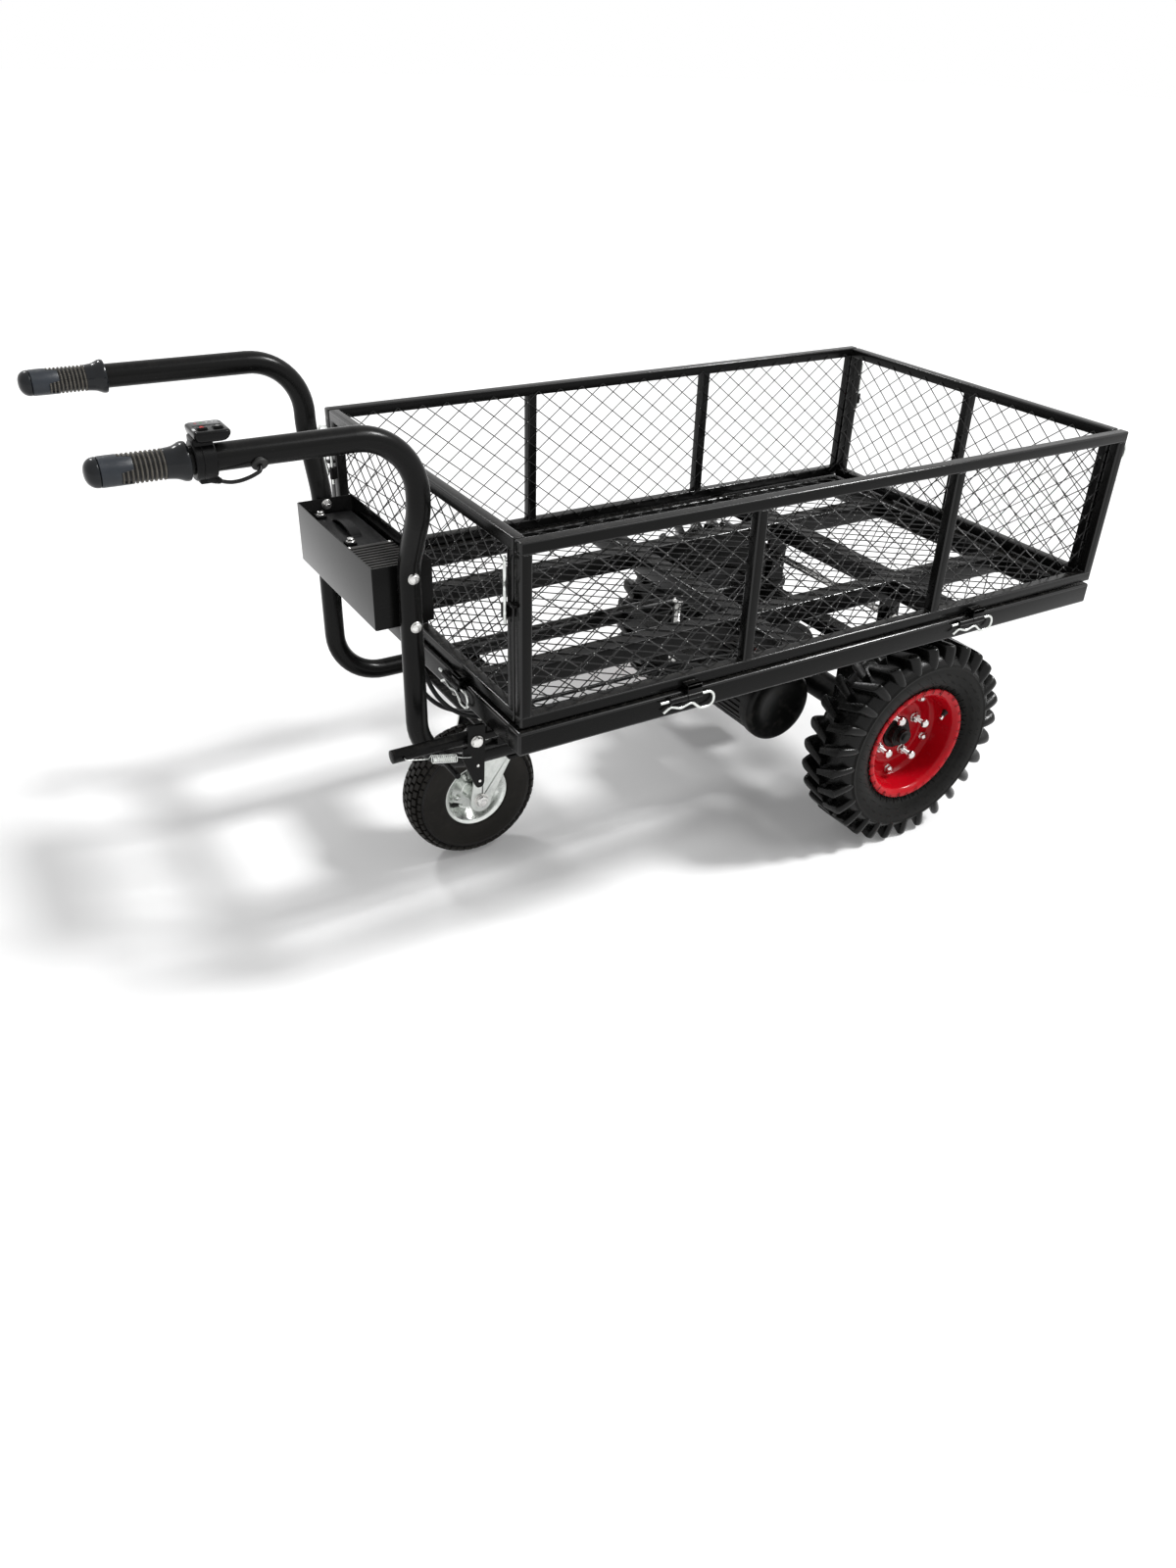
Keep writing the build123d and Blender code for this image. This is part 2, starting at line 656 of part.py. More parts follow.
def half_shaft(side):
    """Half shaft from the gear carrier out to the hub flange and hub nose."""
    disc = DRIVE_Y + DISC_IN
    inner_end = GEAR_Y + GEAR_FACE / 2 + side * 4
    shaft = rod((AXLE_X, inner_end, AXLE_Z), (AXLE_X, side * (disc + 4), AXLE_Z), SHAFT_RADIUS)
    flange = rod((AXLE_X, side * (disc - 13), AXLE_Z), (AXLE_X, side * (disc - 5), AXLE_Z), 58)
    nose = rod((AXLE_X, side * (disc - 26), AXLE_Z), (AXLE_X, side * (disc + 3), AXLE_Z), 33)
    boss = rod((AXLE_X, side * disc, AXLE_Z), (AXLE_X, side * (disc + 15), AXLE_Z), 24)
    nut = rod((AXLE_X, side * disc, AXLE_Z), (AXLE_X, side * (disc + 27), AXLE_Z), 15)
    hub = union([shaft, flange, nose, boss, nut])
    return hub - [rod(start, end, STUD_RADIUS + RUNNING) for start, end in stud_lines(side)]


def wheel_nuts(side):
    """Hub studs with a nut against the disc and a nut at the outer end."""
    shapes = []
    hexagon = RegularPolygon(8.5, 6, major_radius=False)
    disc = side * (DRIVE_Y + DISC_IN)
    for start, end in stud_lines(side):
        outwards = Plane(origin=(start[0], disc, start[2]), z_dir=(0, side, 0))
        seat = extrude(outwards * hexagon, 9)
        cap = extrude(outwards.offset(28) * hexagon, 10)
        head = extrude(outwards.offset(-20) * hexagon, 6.5)
        shapes.append(union([rod(start, end, STUD_RADIUS), seat, cap, head]))
    return group(shapes)


# Axle, gear case and motor
HOUSING_RADIUS = 30
HOUSING_END = 272
CASE_START = GEAR_Y - 10
CASE_END = GEAR_Y + GEAR_FACE + 32
CASE_WALL = 6
SEAT_START = CASE_START + 2
SEAT_END = CASE_END - 2
SPINDLE_RADIUS = 8
ROTOR_RADIUS = 9


def gear_place(distance):
    """Centre of a gear, measured from the axle towards the motor."""
    angle = math.radians(180 - GEAR_TILT)
    return AXLE_X + distance * math.cos(angle), AXLE_Z + distance * math.sin(angle)


def pitch_radius(teeth):
    """Pitch radius of a gear."""
    return MODULE * teeth / 2


IDLER_DISTANCE = pitch_radius(RING_TEETH) + pitch_radius(IDLER_TEETH)
MOTOR_DISTANCE = IDLER_DISTANCE + pitch_radius(IDLER_TEETH) + pitch_radius(PINION_TEETH)
IDLER_X, IDLER_Z = gear_place(IDLER_DISTANCE)
MOTOR_X, MOTOR_Z = gear_place(MOTOR_DISTANCE)
MOTOR_RADIUS = 76
MOTOR_CAP_RADIUS = 79
MOTOR_CAP = (-152, -128)
CAP_ROUNDING = 11
MOTOR_BORE = 48


def gear(teeth, x, z, first_tooth, bore):
    """Spur gear about an axis along Y, with one tooth centred at an angle in degrees."""
    radius = pitch_radius(teeth)
    pitch = 2 * math.pi / teeth
    profile = [(radius - 1.3 * MODULE, 0.28), (radius, 0.20), (radius + 0.85 * MODULE, 0.10)]
    points = []
    for k in range(teeth):
        middle = math.radians(first_tooth) + k * pitch
        for reach, share in profile:
            points.append((reach, middle - share * pitch))
        for reach, share in reversed(profile):
            points.append((reach, middle + share * pitch))
    corners = [(x + r * math.cos(a), z + r * math.sin(a)) for r, a in points]
    blank = make_face(Polyline(*corners, close=True)) - Pos(x, z) * Circle(bore)
    return Pos(0, GEAR_Y + GEAR_FACE, 0) * extrude(Plane.XZ * blank, GEAR_FACE)


def line_angle():
    """Angle of the line of gear centres, from the axle to the motor."""
    return 180 - GEAR_TILT


def differential_carrier():
    """Ring gear on its carrier barrel, running on the two half shafts."""
    barrel_bore = SHAFT_RADIUS + RUNNING
    ring = gear(RING_TEETH, AXLE_X, AXLE_Z, line_angle(), 30)
    barrel = pipe((AXLE_X, GEAR_Y - 2, AXLE_Z), (AXLE_X, GEAR_Y + GEAR_FACE + 22, AXLE_Z), 30.5, barrel_bore)
    return union([ring, barrel])


def idler_gear():
    """Idler between motor pinion and ring gear, with its own spindle."""
    half_tooth = 180 / IDLER_TEETH
    wheel = gear(IDLER_TEETH, IDLER_X, IDLER_Z, line_angle() + half_tooth, 7)
    start = (IDLER_X, SEAT_START + BODY_GAP, IDLER_Z)
    end = (IDLER_X, SEAT_END - BODY_GAP, IDLER_Z)
    spindle = rod(start, end, SPINDLE_RADIUS)
    return union([wheel, spindle])


def motor_rotor():
    """Rotor core on its shaft, with the pinion at the gear end."""
    shaft = rod((MOTOR_X, MOTOR_CAP[1] - 6, MOTOR_Z), (MOTOR_X, SEAT_END - BODY_GAP, MOTOR_Z), ROTOR_RADIUS)
    core = rod((MOTOR_X, -105, MOTOR_Z), (MOTOR_X, 10, MOTOR_Z), MOTOR_BORE - 1)
    pinion = gear(PINION_TEETH, MOTOR_X, MOTOR_Z, line_angle(), 8)
    return union([shaft, core, pinion])


def case_outline(axle_radius, idler_radius, motor_radius):
    """Outline of the gear case in the XZ plane: two trains of circles and their tangents."""
    circles = [
        Pos(AXLE_X, AXLE_Z) * Circle(axle_radius),
        Pos(IDLER_X, IDLER_Z) * Circle(idler_radius),
        Pos(MOTOR_X, MOTOR_Z) * Circle(motor_radius),
    ]
    return make_hull([edge for circle in circles for edge in circle.edges()])


def case_slab(outline, y0, y1):
    """An outline of the XZ plane given thickness from y0 to y1."""
    return Pos(0, y1, 0) * extrude(Plane.XZ * outline, y1 - y0)


SPLIT_Y = GEAR_Y + GEAR_FACE + 8


def axle_housing():
    """Axle tubes with the deep half of the gear case."""
    outer = case_slab(case_outline(90, 50, 46), CASE_START, SPLIT_Y)
    cavity = case_slab(case_outline(84, 44, 40), CASE_START + CASE_WALL, SPLIT_Y + 1)
    tubes = rod((AXLE_X, -HOUSING_END, AXLE_Z), (AXLE_X, CASE_START + 1, AXLE_Z), HOUSING_RADIUS)
    bore = rod((AXLE_X, -HOUSING_END - 1, AXLE_Z), (AXLE_X, SPLIT_Y, AXLE_Z), BEARING_RADIUS + RUNNING)
    motor_hole = rod((MOTOR_X, CASE_START - 1, MOTOR_Z), (MOTOR_X, SPLIT_Y, MOTOR_Z), 12)
    spindle_seat = rod((IDLER_X, SEAT_START, IDLER_Z), (IDLER_X, SPLIT_Y, IDLER_Z), SPINDLE_RADIUS + RUNNING)
    return (outer + tubes) - [cavity, bore, motor_hole, spindle_seat]


def gear_case_cover():
    """Shallow half of the gear case with the left axle tube."""
    outer = case_slab(case_outline(90, 50, 46), SPLIT_Y, CASE_END)
    cavity = case_slab(case_outline(84, 44, 40), SPLIT_Y - 1, CASE_END - CASE_WALL)
    tube = rod((AXLE_X, CASE_END - 1, AXLE_Z), (AXLE_X, HOUSING_END, AXLE_Z), HOUSING_RADIUS)
    bore = rod((AXLE_X, SPLIT_Y, AXLE_Z), (AXLE_X, HOUSING_END + 1, AXLE_Z), BEARING_RADIUS + RUNNING)
    seats = [
        rod((IDLER_X, SPLIT_Y, IDLER_Z), (IDLER_X, SEAT_END, IDLER_Z), SPINDLE_RADIUS + RUNNING),
        rod((MOTOR_X, SPLIT_Y, MOTOR_Z), (MOTOR_X, SEAT_END, MOTOR_Z), ROTOR_RADIUS + RUNNING),
    ]
    return (outer + tube) - [cavity, bore] - seats


BEARING_RADIUS = 24
BEARING_WIDTH = 15


def axle_bearings():
    """Bearing rings that carry the half shafts at both ends of each axle tube."""
    right = [-HOUSING_END, CASE_START - BEARING_WIDTH - 4]
    left = [CASE_END + 4, HOUSING_END - BEARING_WIDTH]
    rings = []
    for y in right + left:
        start = (AXLE_X, y, AXLE_Z)
        end = (AXLE_X, y + BEARING_WIDTH, AXLE_Z)
        rings.append(pipe(start, end, BEARING_RADIUS, SHAFT_RADIUS + RUNNING))
    return group(rings)


def motor_body():
    """Ribbed motor barrel with its stator bore."""
    start = MOTOR_CAP[1]
    barrel = rod((MOTOR_X, start, MOTOR_Z), (MOTOR_X, CASE_START, MOTOR_Z), MOTOR_RADIUS)
    bore = rod((MOTOR_X, start - 1, MOTOR_Z), (MOTOR_X, CASE_START - 14, MOTOR_Z), MOTOR_BORE)
    shaft_way = rod((MOTOR_X, start, MOTOR_Z), (MOTOR_X, CASE_START + 1, MOTOR_Z), 12)
    groove = box(MOTOR_RADIUS - 3, MOTOR_RADIUS + 3, start + 12, CASE_START - 12, -2.5, 2.5)
    ribs = 36
    grooves = [Pos(MOTOR_X, 0, MOTOR_Z) * Rot(0, k * 360 / ribs, 0) * groove for k in range(ribs)]
    return barrel - [bore, shaft_way] - grooves


def motor_end_cap():
    """Turned end cap with a rounded rim."""
    start, end = MOTOR_CAP
    cap = rod((MOTOR_X, start, MOTOR_Z), (MOTOR_X, end, MOTOR_Z), MOTOR_CAP_RADIUS)
    rim = cap.edges().filter_by(GeomType.CIRCLE).sort_by(Axis.Y)[0]
    seat = rod((MOTOR_X, end - 7, MOTOR_Z), (MOTOR_X, end, MOTOR_Z), ROTOR_RADIUS + RUNNING)
    return fillet(rim, CAP_ROUNDING) - seat


def axle_brackets():
    """Plates that hang the axle housing from the two tubes."""
    plate = box(AXLE_X - 42, AXLE_X + 42, POST_Y - 5, POST_Y + 5, AXLE_Z, RUN_Z)
    plate += rod((AXLE_X, POST_Y - 5, AXLE_Z), (AXLE_X, POST_Y + 5, AXLE_Z), 42)
    plate -= rod((AXLE_X, POST_Y - 9, AXLE_Z), (AXLE_X, POST_Y + 9, AXLE_Z), HOUSING_RADIUS + RUNNING)
    return group(shape - run_saddle() for shape in both_sides(plate))


def battery_box():
    """Open-topped tray of folded sheet."""
    tray = box(BOX_FRONT, BOX_BACK, -BOX_HALF, BOX_HALF, BOX_LOW, BOX_HIGH)
    inner = box(
        BOX_FRONT + BOX_WALL, BOX_BACK - BOX_WALL, BOX_WALL - BOX_HALF, BOX_HALF - BOX_WALL,
        BOX_LOW + BOX_WALL, BOX_HIGH + 1,
    )
    outlets = [rod((x, y, BOX_LOW - 9), (x, y, BOX_LOW + 9), CABLE_RADIUS + 2) for x, y in CABLE_STARTS]
    return tray - inner - box_bolt_bores() - outlets


def battery_pack():
    """Cased battery in the left half of the box."""
    floor = BOX_LOW + BOX_WALL
    pack = box(BOX_FRONT + 8, BOX_BACK - 8, -20, 152, floor, floor + 80)
    return fillet(pack.edges().filter_by(Axis.Z), 5)


def motor_controller():
    """Finned controller in the right half of the box."""
    floor = BOX_LOW + BOX_WALL + 14
    case = box(BOX_FRONT + 10, BOX_BACK - 10, -148, -30, floor, floor + 72)
    under = BOX_LOW + BOX_WALL
    feet = [box(BOX_FRONT + 14, BOX_BACK - 14, y - 5, y + 5, under, floor + 1) for y in [-60, -40]]
    slot_step = 8
    slots = []
    for k in range(8):
        z = floor + 8 + k * slot_step
        slots.append(box(BOX_FRONT + 9, BOX_FRONT + 16, -140, -38, z, z + 4))
    for k in range(8):
        x = BOX_FRONT + 18 + k * slot_step
        slots.append(box(x, x + 4, -140, -38, floor + 64, floor + 73))
    return union([case] + feet) - slots


# Power cables from the box to the motor
CABLE_RADIUS = 4
CABLE_STARTS = [(X0 - 52, -128), (X0 - 66, -112)]


def power_cables():
    """Two cables from the box floor, down behind the right tube and along it to the motor."""
    shapes = []
    for k, (x, y) in enumerate(CABLE_STARTS):
        shift = k * 13
        points = [
            (x, y, BOX_LOW + 12),
            (x + 2, y, BOX_LOW - 45),
            (x + 10, y - 6, BOX_LOW - 100),
            (x + 30, y - 14 + shift, BOX_LOW - 155),
            (x + 68, y - 18 + shift, RUN_Z + 58),
            (x + 128, y - 20 + shift, RUN_Z + 38),
            (x + 240, y - 18 + shift, RUN_Z + 30),
            (x + 420, y - 14 + shift, RUN_Z + 27),
            (x + 600, y - 4 + shift, RUN_Z + 24),
            (x + 690, y + 12 + shift, RUN_Z + 6),
            (MOTOR_X - 6, y + 26 + shift, MOTOR_Z + MOTOR_RADIUS + 12),
        ]
        shapes.append(swept(points, cord_radii(points), Circle(CABLE_RADIUS)))
    return group(shapes)


def cord_radii(points):
    """Arc radii as large as the runs beside each corner allow."""
    radii = []
    for before, here, after in zip(points, points[1:], points[2:]):
        back = Vector(*here) - Vector(*before)
        ahead = Vector(*after) - Vector(*here)
        turn = math.radians(back.get_angle(ahead))
        radii.append(0.45 * min(back.length, ahead.length) / math.tan(turn / 2))
    return radii


# Grips and control head
GRIP_RADIUS = 19.5


def grip(side):
    """Rubber grip with a rounded end cap and a flared collar."""
    bore = GRIP_END_RADIUS + RUNNING
    end = X0 - GRIP_REACH
    outline = [
        (0, 0), (0, 12.5), (4.5, 17.5), (11, GRIP_RADIUS), (95, GRIP_RADIUS), (108, 20.8), (117, 23.8),
        (GRIP_LENGTH - 3, 25), (GRIP_LENGTH, 23.5), (GRIP_LENGTH, bore), (8, bore), (8, 0),
    ]
    face = make_face(Polyline(*outline, close=True))
    return Pos(end, side * GRIP_Y, GRIP_Z) * revolve(face, Axis.X)


CLAMP_START = X0 - GRIP_REACH + GRIP_LENGTH + 5.5
CLAMP_WIDTH = 27
CLAMP_RADIUS = 26
HEAD_LOW = GRIP_Z + 27
HEAD_HIGH = HEAD_LOW + 14
HEAD_X = (CLAMP_START + 1.5, CLAMP_START + 48)
HEAD_Y = (-GRIP_Y - 29, -GRIP_Y + 25)
BUTTONS = {
    "power_button": (CLAMP_START + 15, -GRIP_Y - 13, 13, 9),
    "mode_button": (CLAMP_START + 35, -GRIP_Y - 13, 13, 9),
}
BUTTON_TALL = 12
BUTTON_PROUD = 3
BUTTON_TRAVEL = 1.5
LED_WINDOW = (CLAMP_START + 8, CLAMP_START + 41, -GRIP_Y + 3, -GRIP_Y + 15)


def grip_run_room():
    """Room for the straight top run of the right tube."""
    return rod((X0 - GRIP_REACH, -GRIP_Y, GRIP_Z), (POST_X, -GRIP_Y, GRIP_Z), TUBE_RADIUS + RUNNING)


def control_clamp():
    """Clamp ring round the tube with a neck up to the head."""
    end = CLAMP_START + CLAMP_WIDTH
    ring = rod((CLAMP_START, -GRIP_Y, GRIP_Z), (end, -GRIP_Y, GRIP_Z), CLAMP_RADIUS)
    neck = box(CLAMP_START, end, -GRIP_Y - 16, -GRIP_Y + 16, GRIP_Z, HEAD_LOW)
    mouth = Vector(*LEAD_POINTS[0])
    back = (mouth - Vector(*LEAD_POINTS[1])).normalized()
    spout = rod(tuple(mouth), tuple(mouth + back * 14), 5)
    return union([ring, neck, spout]) - grip_run_room()


def control_head():
    """Small display head with button wells and a lamp window."""
    body = box(*HEAD_X, *HEAD_Y, HEAD_LOW, HEAD_HIGH)
    body = chamfer(body.edges().group_by(Axis.Z)[-1], 4)
    wells = []
    slack = 0.4
    depth = BUTTON_TALL - BUTTON_PROUD + BUTTON_TRAVEL + BODY_GAP
    for x, y, length, width in BUTTONS.values():
        wells.append(Pos(x, y, HEAD_HIGH) * Box(length + slack, width + slack, 2 * depth))
    window = box(*LED_WINDOW, HEAD_HIGH - 1, HEAD_HIGH + 1)
    return body - wells - window


def button(x, y, length, width):
    """Push button standing proud of the head."""
    cap = Pos(x, y, HEAD_HIGH + BUTTON_PROUD - BUTTON_TALL / 2) * Box(length, width, BUTTON_TALL)
    return chamfer(cap.edges().group_by(Axis.Z)[-1], 1)


# Lead from the clamp to the grommet in the tube
GROMMET_X = CLAMP_START + 81.5
GROMMET_DIRECTION = (0, -0.8, -0.6)
LEAD_RADIUS = 2.6
LEAD_POINTS = [
    (CLAMP_START + CLAMP_WIDTH + 2, -GRIP_Y - 8, GRIP_Z - 28),
    (CLAMP_START + CLAMP_WIDTH + 11, -GRIP_Y - 10, GRIP_Z - 31.5),
    (CLAMP_START + CLAMP_WIDTH + 25, -GRIP_Y - 16, GRIP_Z - 30),
    (CLAMP_START + CLAMP_WIDTH + 37, -GRIP_Y - 22, GRIP_Z - 25),
    (GROMMET_X - 9, -GRIP_Y - 24, GRIP_Z - 21),
    (GROMMET_X - 1, -GRIP_Y - 0.8 * 29, GRIP_Z - 0.6 * 29),
    (GROMMET_X, -GRIP_Y - 0.8 * 22.5, GRIP_Z - 0.6 * 22.5),
]


def cable_grommet():
    """Rubber grommet standing on the tube where the lead goes in."""
    side = Vector(*GROMMET_DIRECTION)
    seat = Vector(GROMMET_X, -GRIP_Y, GRIP_Z)
    ring = rod(tuple(seat + side * 12), tuple(seat + side * 22), 11)
    lead_way = rod(tuple(seat + side * 21), tuple(seat + side * 24), LEAD_RADIUS)
    return ring - grip_run_room() - lead_way


def control_lead():
    """Lead from the clamp's spout to the grommet."""
    return swept(LEAD_POINTS, cord_radii(LEAD_POINTS), Circle(LEAD_RADIUS))


def lift_bar():
    """Tube that reaches back from under the bed's end rail, on a welded block."""
    start = (X0 - LIFT_BAR_BACK, LIFT_BAR_Y, LIFT_BAR_Z)
    end = (X0 + 60, LIFT_BAR_Y, LIFT_BAR_Z)
    block = box(X0 + 4, X0 + RAIL - 4, LIFT_BAR_Y - 8, LIFT_BAR_Y + 8, LIFT_BAR_Z, RAIL_BOTTOM)
    shape = union([rod(start, end, LIFT_BAR_RADIUS), block])
    shape -= rod(start, end, LIFT_BAR_RADIUS - 2)
    shape -= rod((LEVER_X, LIFT_BAR_Y + 20, LEVER_Z), (LEVER_X, LEVER_Y, LEVER_Z), LEVER_BOLT + RUNNING)
    anchor_x, anchor_z = SPRING_ANCHOR
    return shape - rod((anchor_x, LIFT_BAR_Y, anchor_z), (anchor_x, LEVER_Y, anchor_z), 2.2)


def latch_lever():
    """Flat latch lever: bolt hole above, slanting nose below, eye for the spring."""
    outline = [
        (LEVER_X - 15, LEVER_Z + 31),
        (LEVER_X + 16, LEVER_Z + 28),
        (LEVER_X + 12, LEVER_Z - 82),
        (LEVER_X + 8, LEVER_Z - 89),
        (LEVER_X - 1, LEVER_Z - 89),
        (LEVER_X - 5, LEVER_Z - 82),
        (LEVER_X - 25, LEVER_Z - 29),
        (LEVER_X - 24, LEVER_Z - 8),
        (LEVER_X - 16, LEVER_Z - 9),
    ]
    plate = make_face(Polyline(*outline, close=True))
    plate -= Pos(LEVER_X, LEVER_Z) * Circle(LEVER_BOLT + RUNNING)
    plate -= Pos(*SPRING_EYE) * Circle(2.2)
    return Pos(0, LEVER_Y + LEVER_THICK, 0) * extrude(Plane.XZ * plate, LEVER_THICK)


def latch_bolt():
    """Pivot bolt of the latch lever, with its nut behind the bar."""
    hexagon = RegularPolygon(8.5, 6, major_radius=False)
    inner = LIFT_BAR_Y + LIFT_BAR_RADIUS
    outer = LEVER_Y - 0.4
    shank = rod((LEVER_X, outer, LEVER_Z), (LEVER_X, inner, LEVER_Z), LEVER_BOLT)
    head = extrude(Plane(origin=(LEVER_X, outer, LEVER_Z), z_dir=(0, -1, 0)) * hexagon, 7)
    nut = extrude(Plane(origin=(LEVER_X, inner, LEVER_Z), z_dir=(0, 1, 0)) * hexagon, 5)
    return union([shank, head, nut])


def biarc(start, start_way, end, end_way):
    """Two arcs that join two points along given directions without a corner."""
    across = end - start
    bend = 2 * (1 - start_way.dot(end_way))
    lean = 2 * across.dot(start_way + end_way)
    reach = (math.sqrt(lean * lean + 4 * bend * across.dot(across)) - lean) / (2 * bend)
    first = start + start_way * reach
    second = end - end_way * reach
    middle = (first + second) * 0.5
    arrive = (second - first).normalized()
    return [TangentArc(start, middle, tangent=start_way), TangentArc(middle, end, tangent=arrive)]


def latch_spring():
    """Tension spring of one wire: eye end in the lever, turns, long leg to the bar's end."""
    eye = Vector(SPRING_EYE[0], SPRING_Y, SPRING_EYE[1])
    anchor = Vector(SPRING_ANCHOR[0], SPRING_Y, SPRING_ANCHOR[1])
    along = (anchor - eye).normalized()
    side = Vector(0, 1, 0)
    up = along.cross(side)
    coil_start = eye + along * SPRING_HOOK

    def on_coil(turns):
        angle = 2 * math.pi * turns
        ring = side * math.cos(angle) + up * math.sin(angle)
        return coil_start + along * (SPRING_PITCH * turns) + ring * SPRING_RADIUS

    def way(turns):
        angle = 2 * math.pi * turns
        ring = up * math.cos(angle) - side * math.sin(angle)
        return (ring * (2 * math.pi * SPRING_RADIUS) + along * SPRING_PITCH).normalized()

    inward = Vector(0, 1, 0)
    hook = eye + along * 5
    edges = [Line(eye + inward * 7, eye + inward * 3)]
    edges += biarc(eye + inward * 3, -inward, hook, along)
    edges.append(Line(hook, coil_start - along * 12))
    edges += biarc(coil_start - along * 12, along, on_coil(0), way(0))
    quarters = SPRING_TURNS * 4
    for k in range(quarters):
        edges += biarc(on_coil(k / 4), way(k / 4), on_coil((k + 1) / 4), way((k + 1) / 4))
    leg = coil_start + along * (SPRING_PITCH * SPRING_TURNS + 12)
    edges += biarc(on_coil(SPRING_TURNS), way(SPRING_TURNS), leg, along)
    edges.append(Line(leg, anchor - along * 5))
    edges += biarc(anchor - along * 5, along, anchor + inward * 5, inward)
    edges.append(Line(anchor + inward * 5, anchor + inward * 13))
    path = Wire(edges)
    samples = [on_coil(k / 24) for k in range(24 * SPRING_TURNS + 1)]
    apart = min((a - b).length for i, a in enumerate(samples) for b in samples[i + 13:])
    print(f"latch spring: least gap between turns {apart - 2 * SPRING_WIRE:.2f} mm")
    return sweep(Plane(origin=path @ 0, z_dir=path % 0) * Circle(SPRING_WIRE), path=path)


def bed_pivot_pin():
    """Pin through the ears of the underframe and the lugs of the bed."""
    end = POST_Y + 16
    return rod((PIVOT_X, -end, PIVOT_Z), (PIVOT_X, end, PIVOT_Z), PIN_RADIUS)


def latch_catch_pin():
    """Catch pin standing out of the right tube's foot bend, behind the latch lever's nose."""
    return rod((CATCH_X, LEVER_Y - 4, CATCH_Z), (CATCH_X, -POST_Y - 2, CATCH_Z), CATCH_RADIUS)


def floor_net():
    """Diamond mesh floor lying on the bed rails."""
    inside = END_HALF - 6
    net = diamond_net(BED_LENGTH - 2 * (RAIL - 3), 2 * inside, FLOOR_SHEET)
    return Pos((X0 + X1) / 2, 0, BED_TOP) * net


def frame_bolts():
    """Box bolts and caster plate bolts."""
    box_bolts = [hex_bolt(start, end, BOLT_RADIUS, 14, 6) for start, end in box_bolt_lines()]
    plate_bolts = [hex_bolt(start, end, BOLT_RADIUS, 14, 7) for start, end in caster_bolt_lines()]
    return group(box_bolts + plate_bolts)


def rest_pads():
    """Rubber pads between the rest posts and the joists."""
    pad = box(REST_X - 17, REST_X + 17, POST_Y - 15, POST_Y + 13, REST_TOP, RAIL_BOTTOM - BODY_GAP)
    return group(both_sides(pad))


# Everything that stays on the wheels when the bed tips
nodes["handle_tube_right"] = handle_tube(-1)
nodes["handle_tube_left"] = handle_tube(1)
nodes["grip_left"] = grip(1)
nodes["throttle_grip"] = grip(-1)
nodes["control_clamp"] = control_clamp()
nodes["control_head"] = control_head()
nodes["control_lead"] = control_lead()
nodes["cable_grommet"] = cable_grommet()
for name, place in BUTTONS.items():
    nodes[name] = button(*place)
nodes["battery_box"] = battery_box()
nodes["battery_pack"] = battery_pack()
nodes["motor_controller"] = motor_controller()
nodes["power_cables"] = power_cables()
nodes["frame_bolts"] = frame_bolts()
nodes["underframe_brackets"] = underframe_brackets()
nodes["bed_rest_pads"] = rest_pads()
nodes["stop_bolt"] = stop_bolt()
nodes["bed_pivot_pin"] = bed_pivot_pin()
nodes["latch_catch_pin"] = latch_catch_pin()
nodes["caster_mount_plate"] = caster_mount_plate()
nodes["caster_top_plate"] = caster_top_plate()
nodes["axle_brackets"] = axle_brackets()
nodes["axle_housing"] = axle_housing()
nodes["gear_case_cover"] = gear_case_cover()
nodes["axle_bearings"] = axle_bearings()
nodes["motor_body"] = motor_body()
nodes["motor_end_cap"] = motor_end_cap()
nodes["motor_rotor"] = motor_rotor()
nodes["idler_gear"] = idler_gear()
nodes["differential_carrier"] = differential_carrier()

# Wheels
for side_name, side in [("left", 1), ("right", -1)]:
    nodes[f"drive_tyre_{side_name}"] = drive_tyre(side)
    nodes[f"drive_rim_{side_name}"] = drive_rim(side)
    nodes[f"half_shaft_{side_name}"] = half_shaft(side)
    nodes[f"wheel_nuts_{side_name}"] = wheel_nuts(side)
nodes["caster_fork"] = caster_fork()
nodes["caster_tyre"] = caster_tyre()
nodes["caster_rim"] = caster_rim()
nodes["caster_axle_bolt"] = caster_axle_bolt()

# Tipping bed
nodes["bed_frame"] = bed_frame()
nodes["floor_mesh"] = floor_net()
nodes["handle_end_panel_frame"] = end_panel("handle_end")
nodes["handle_end_panel_mesh"] = END_PLACES["handle_end"] * panel_net(2 * END_HALF)
nodes["tail_panel_frame"] = end_panel("tail")
nodes["tail_panel_mesh"] = END_PLACES["tail"] * panel_net(2 * END_HALF)
for side_name, place in SIDE_PLACES.items():
    nodes[f"side_panel_{side_name}_frame"] = side_panel(side_name)
    nodes[f"side_panel_{side_name}_mesh"] = place * panel_net(SIDE_LENGTH)
hinge_clips = [place * hairpin() for edge in EDGES for place in hinge_places(edge)]
nodes["bed_clips"] = group(hinge_clips + corner_clips("handle_end"))
nodes["tail_corner_clips"] = group(corner_clips("tail"))
nodes["lift_bar"] = lift_bar()
nodes["latch_lever"] = latch_lever()
nodes["latch_bolt"] = latch_bolt()
nodes["latch_spring"] = latch_spring()

os.makedirs("parts", exist_ok=True)
for name, shape in nodes.items():
    shape.label = name
    export_step(shape, f"parts/{name}.step")
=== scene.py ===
"""Electric site cart with a tipping mesh bed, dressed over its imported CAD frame."""

from functools import partial
from math import atan2, copysign, cos, exp, pi, radians, sin
from typing import NamedTuple

import bmesh
import bpy
from bpy.props import FloatProperty, FloatVectorProperty, IntProperty, PointerProperty
from mathutils import Matrix, Vector


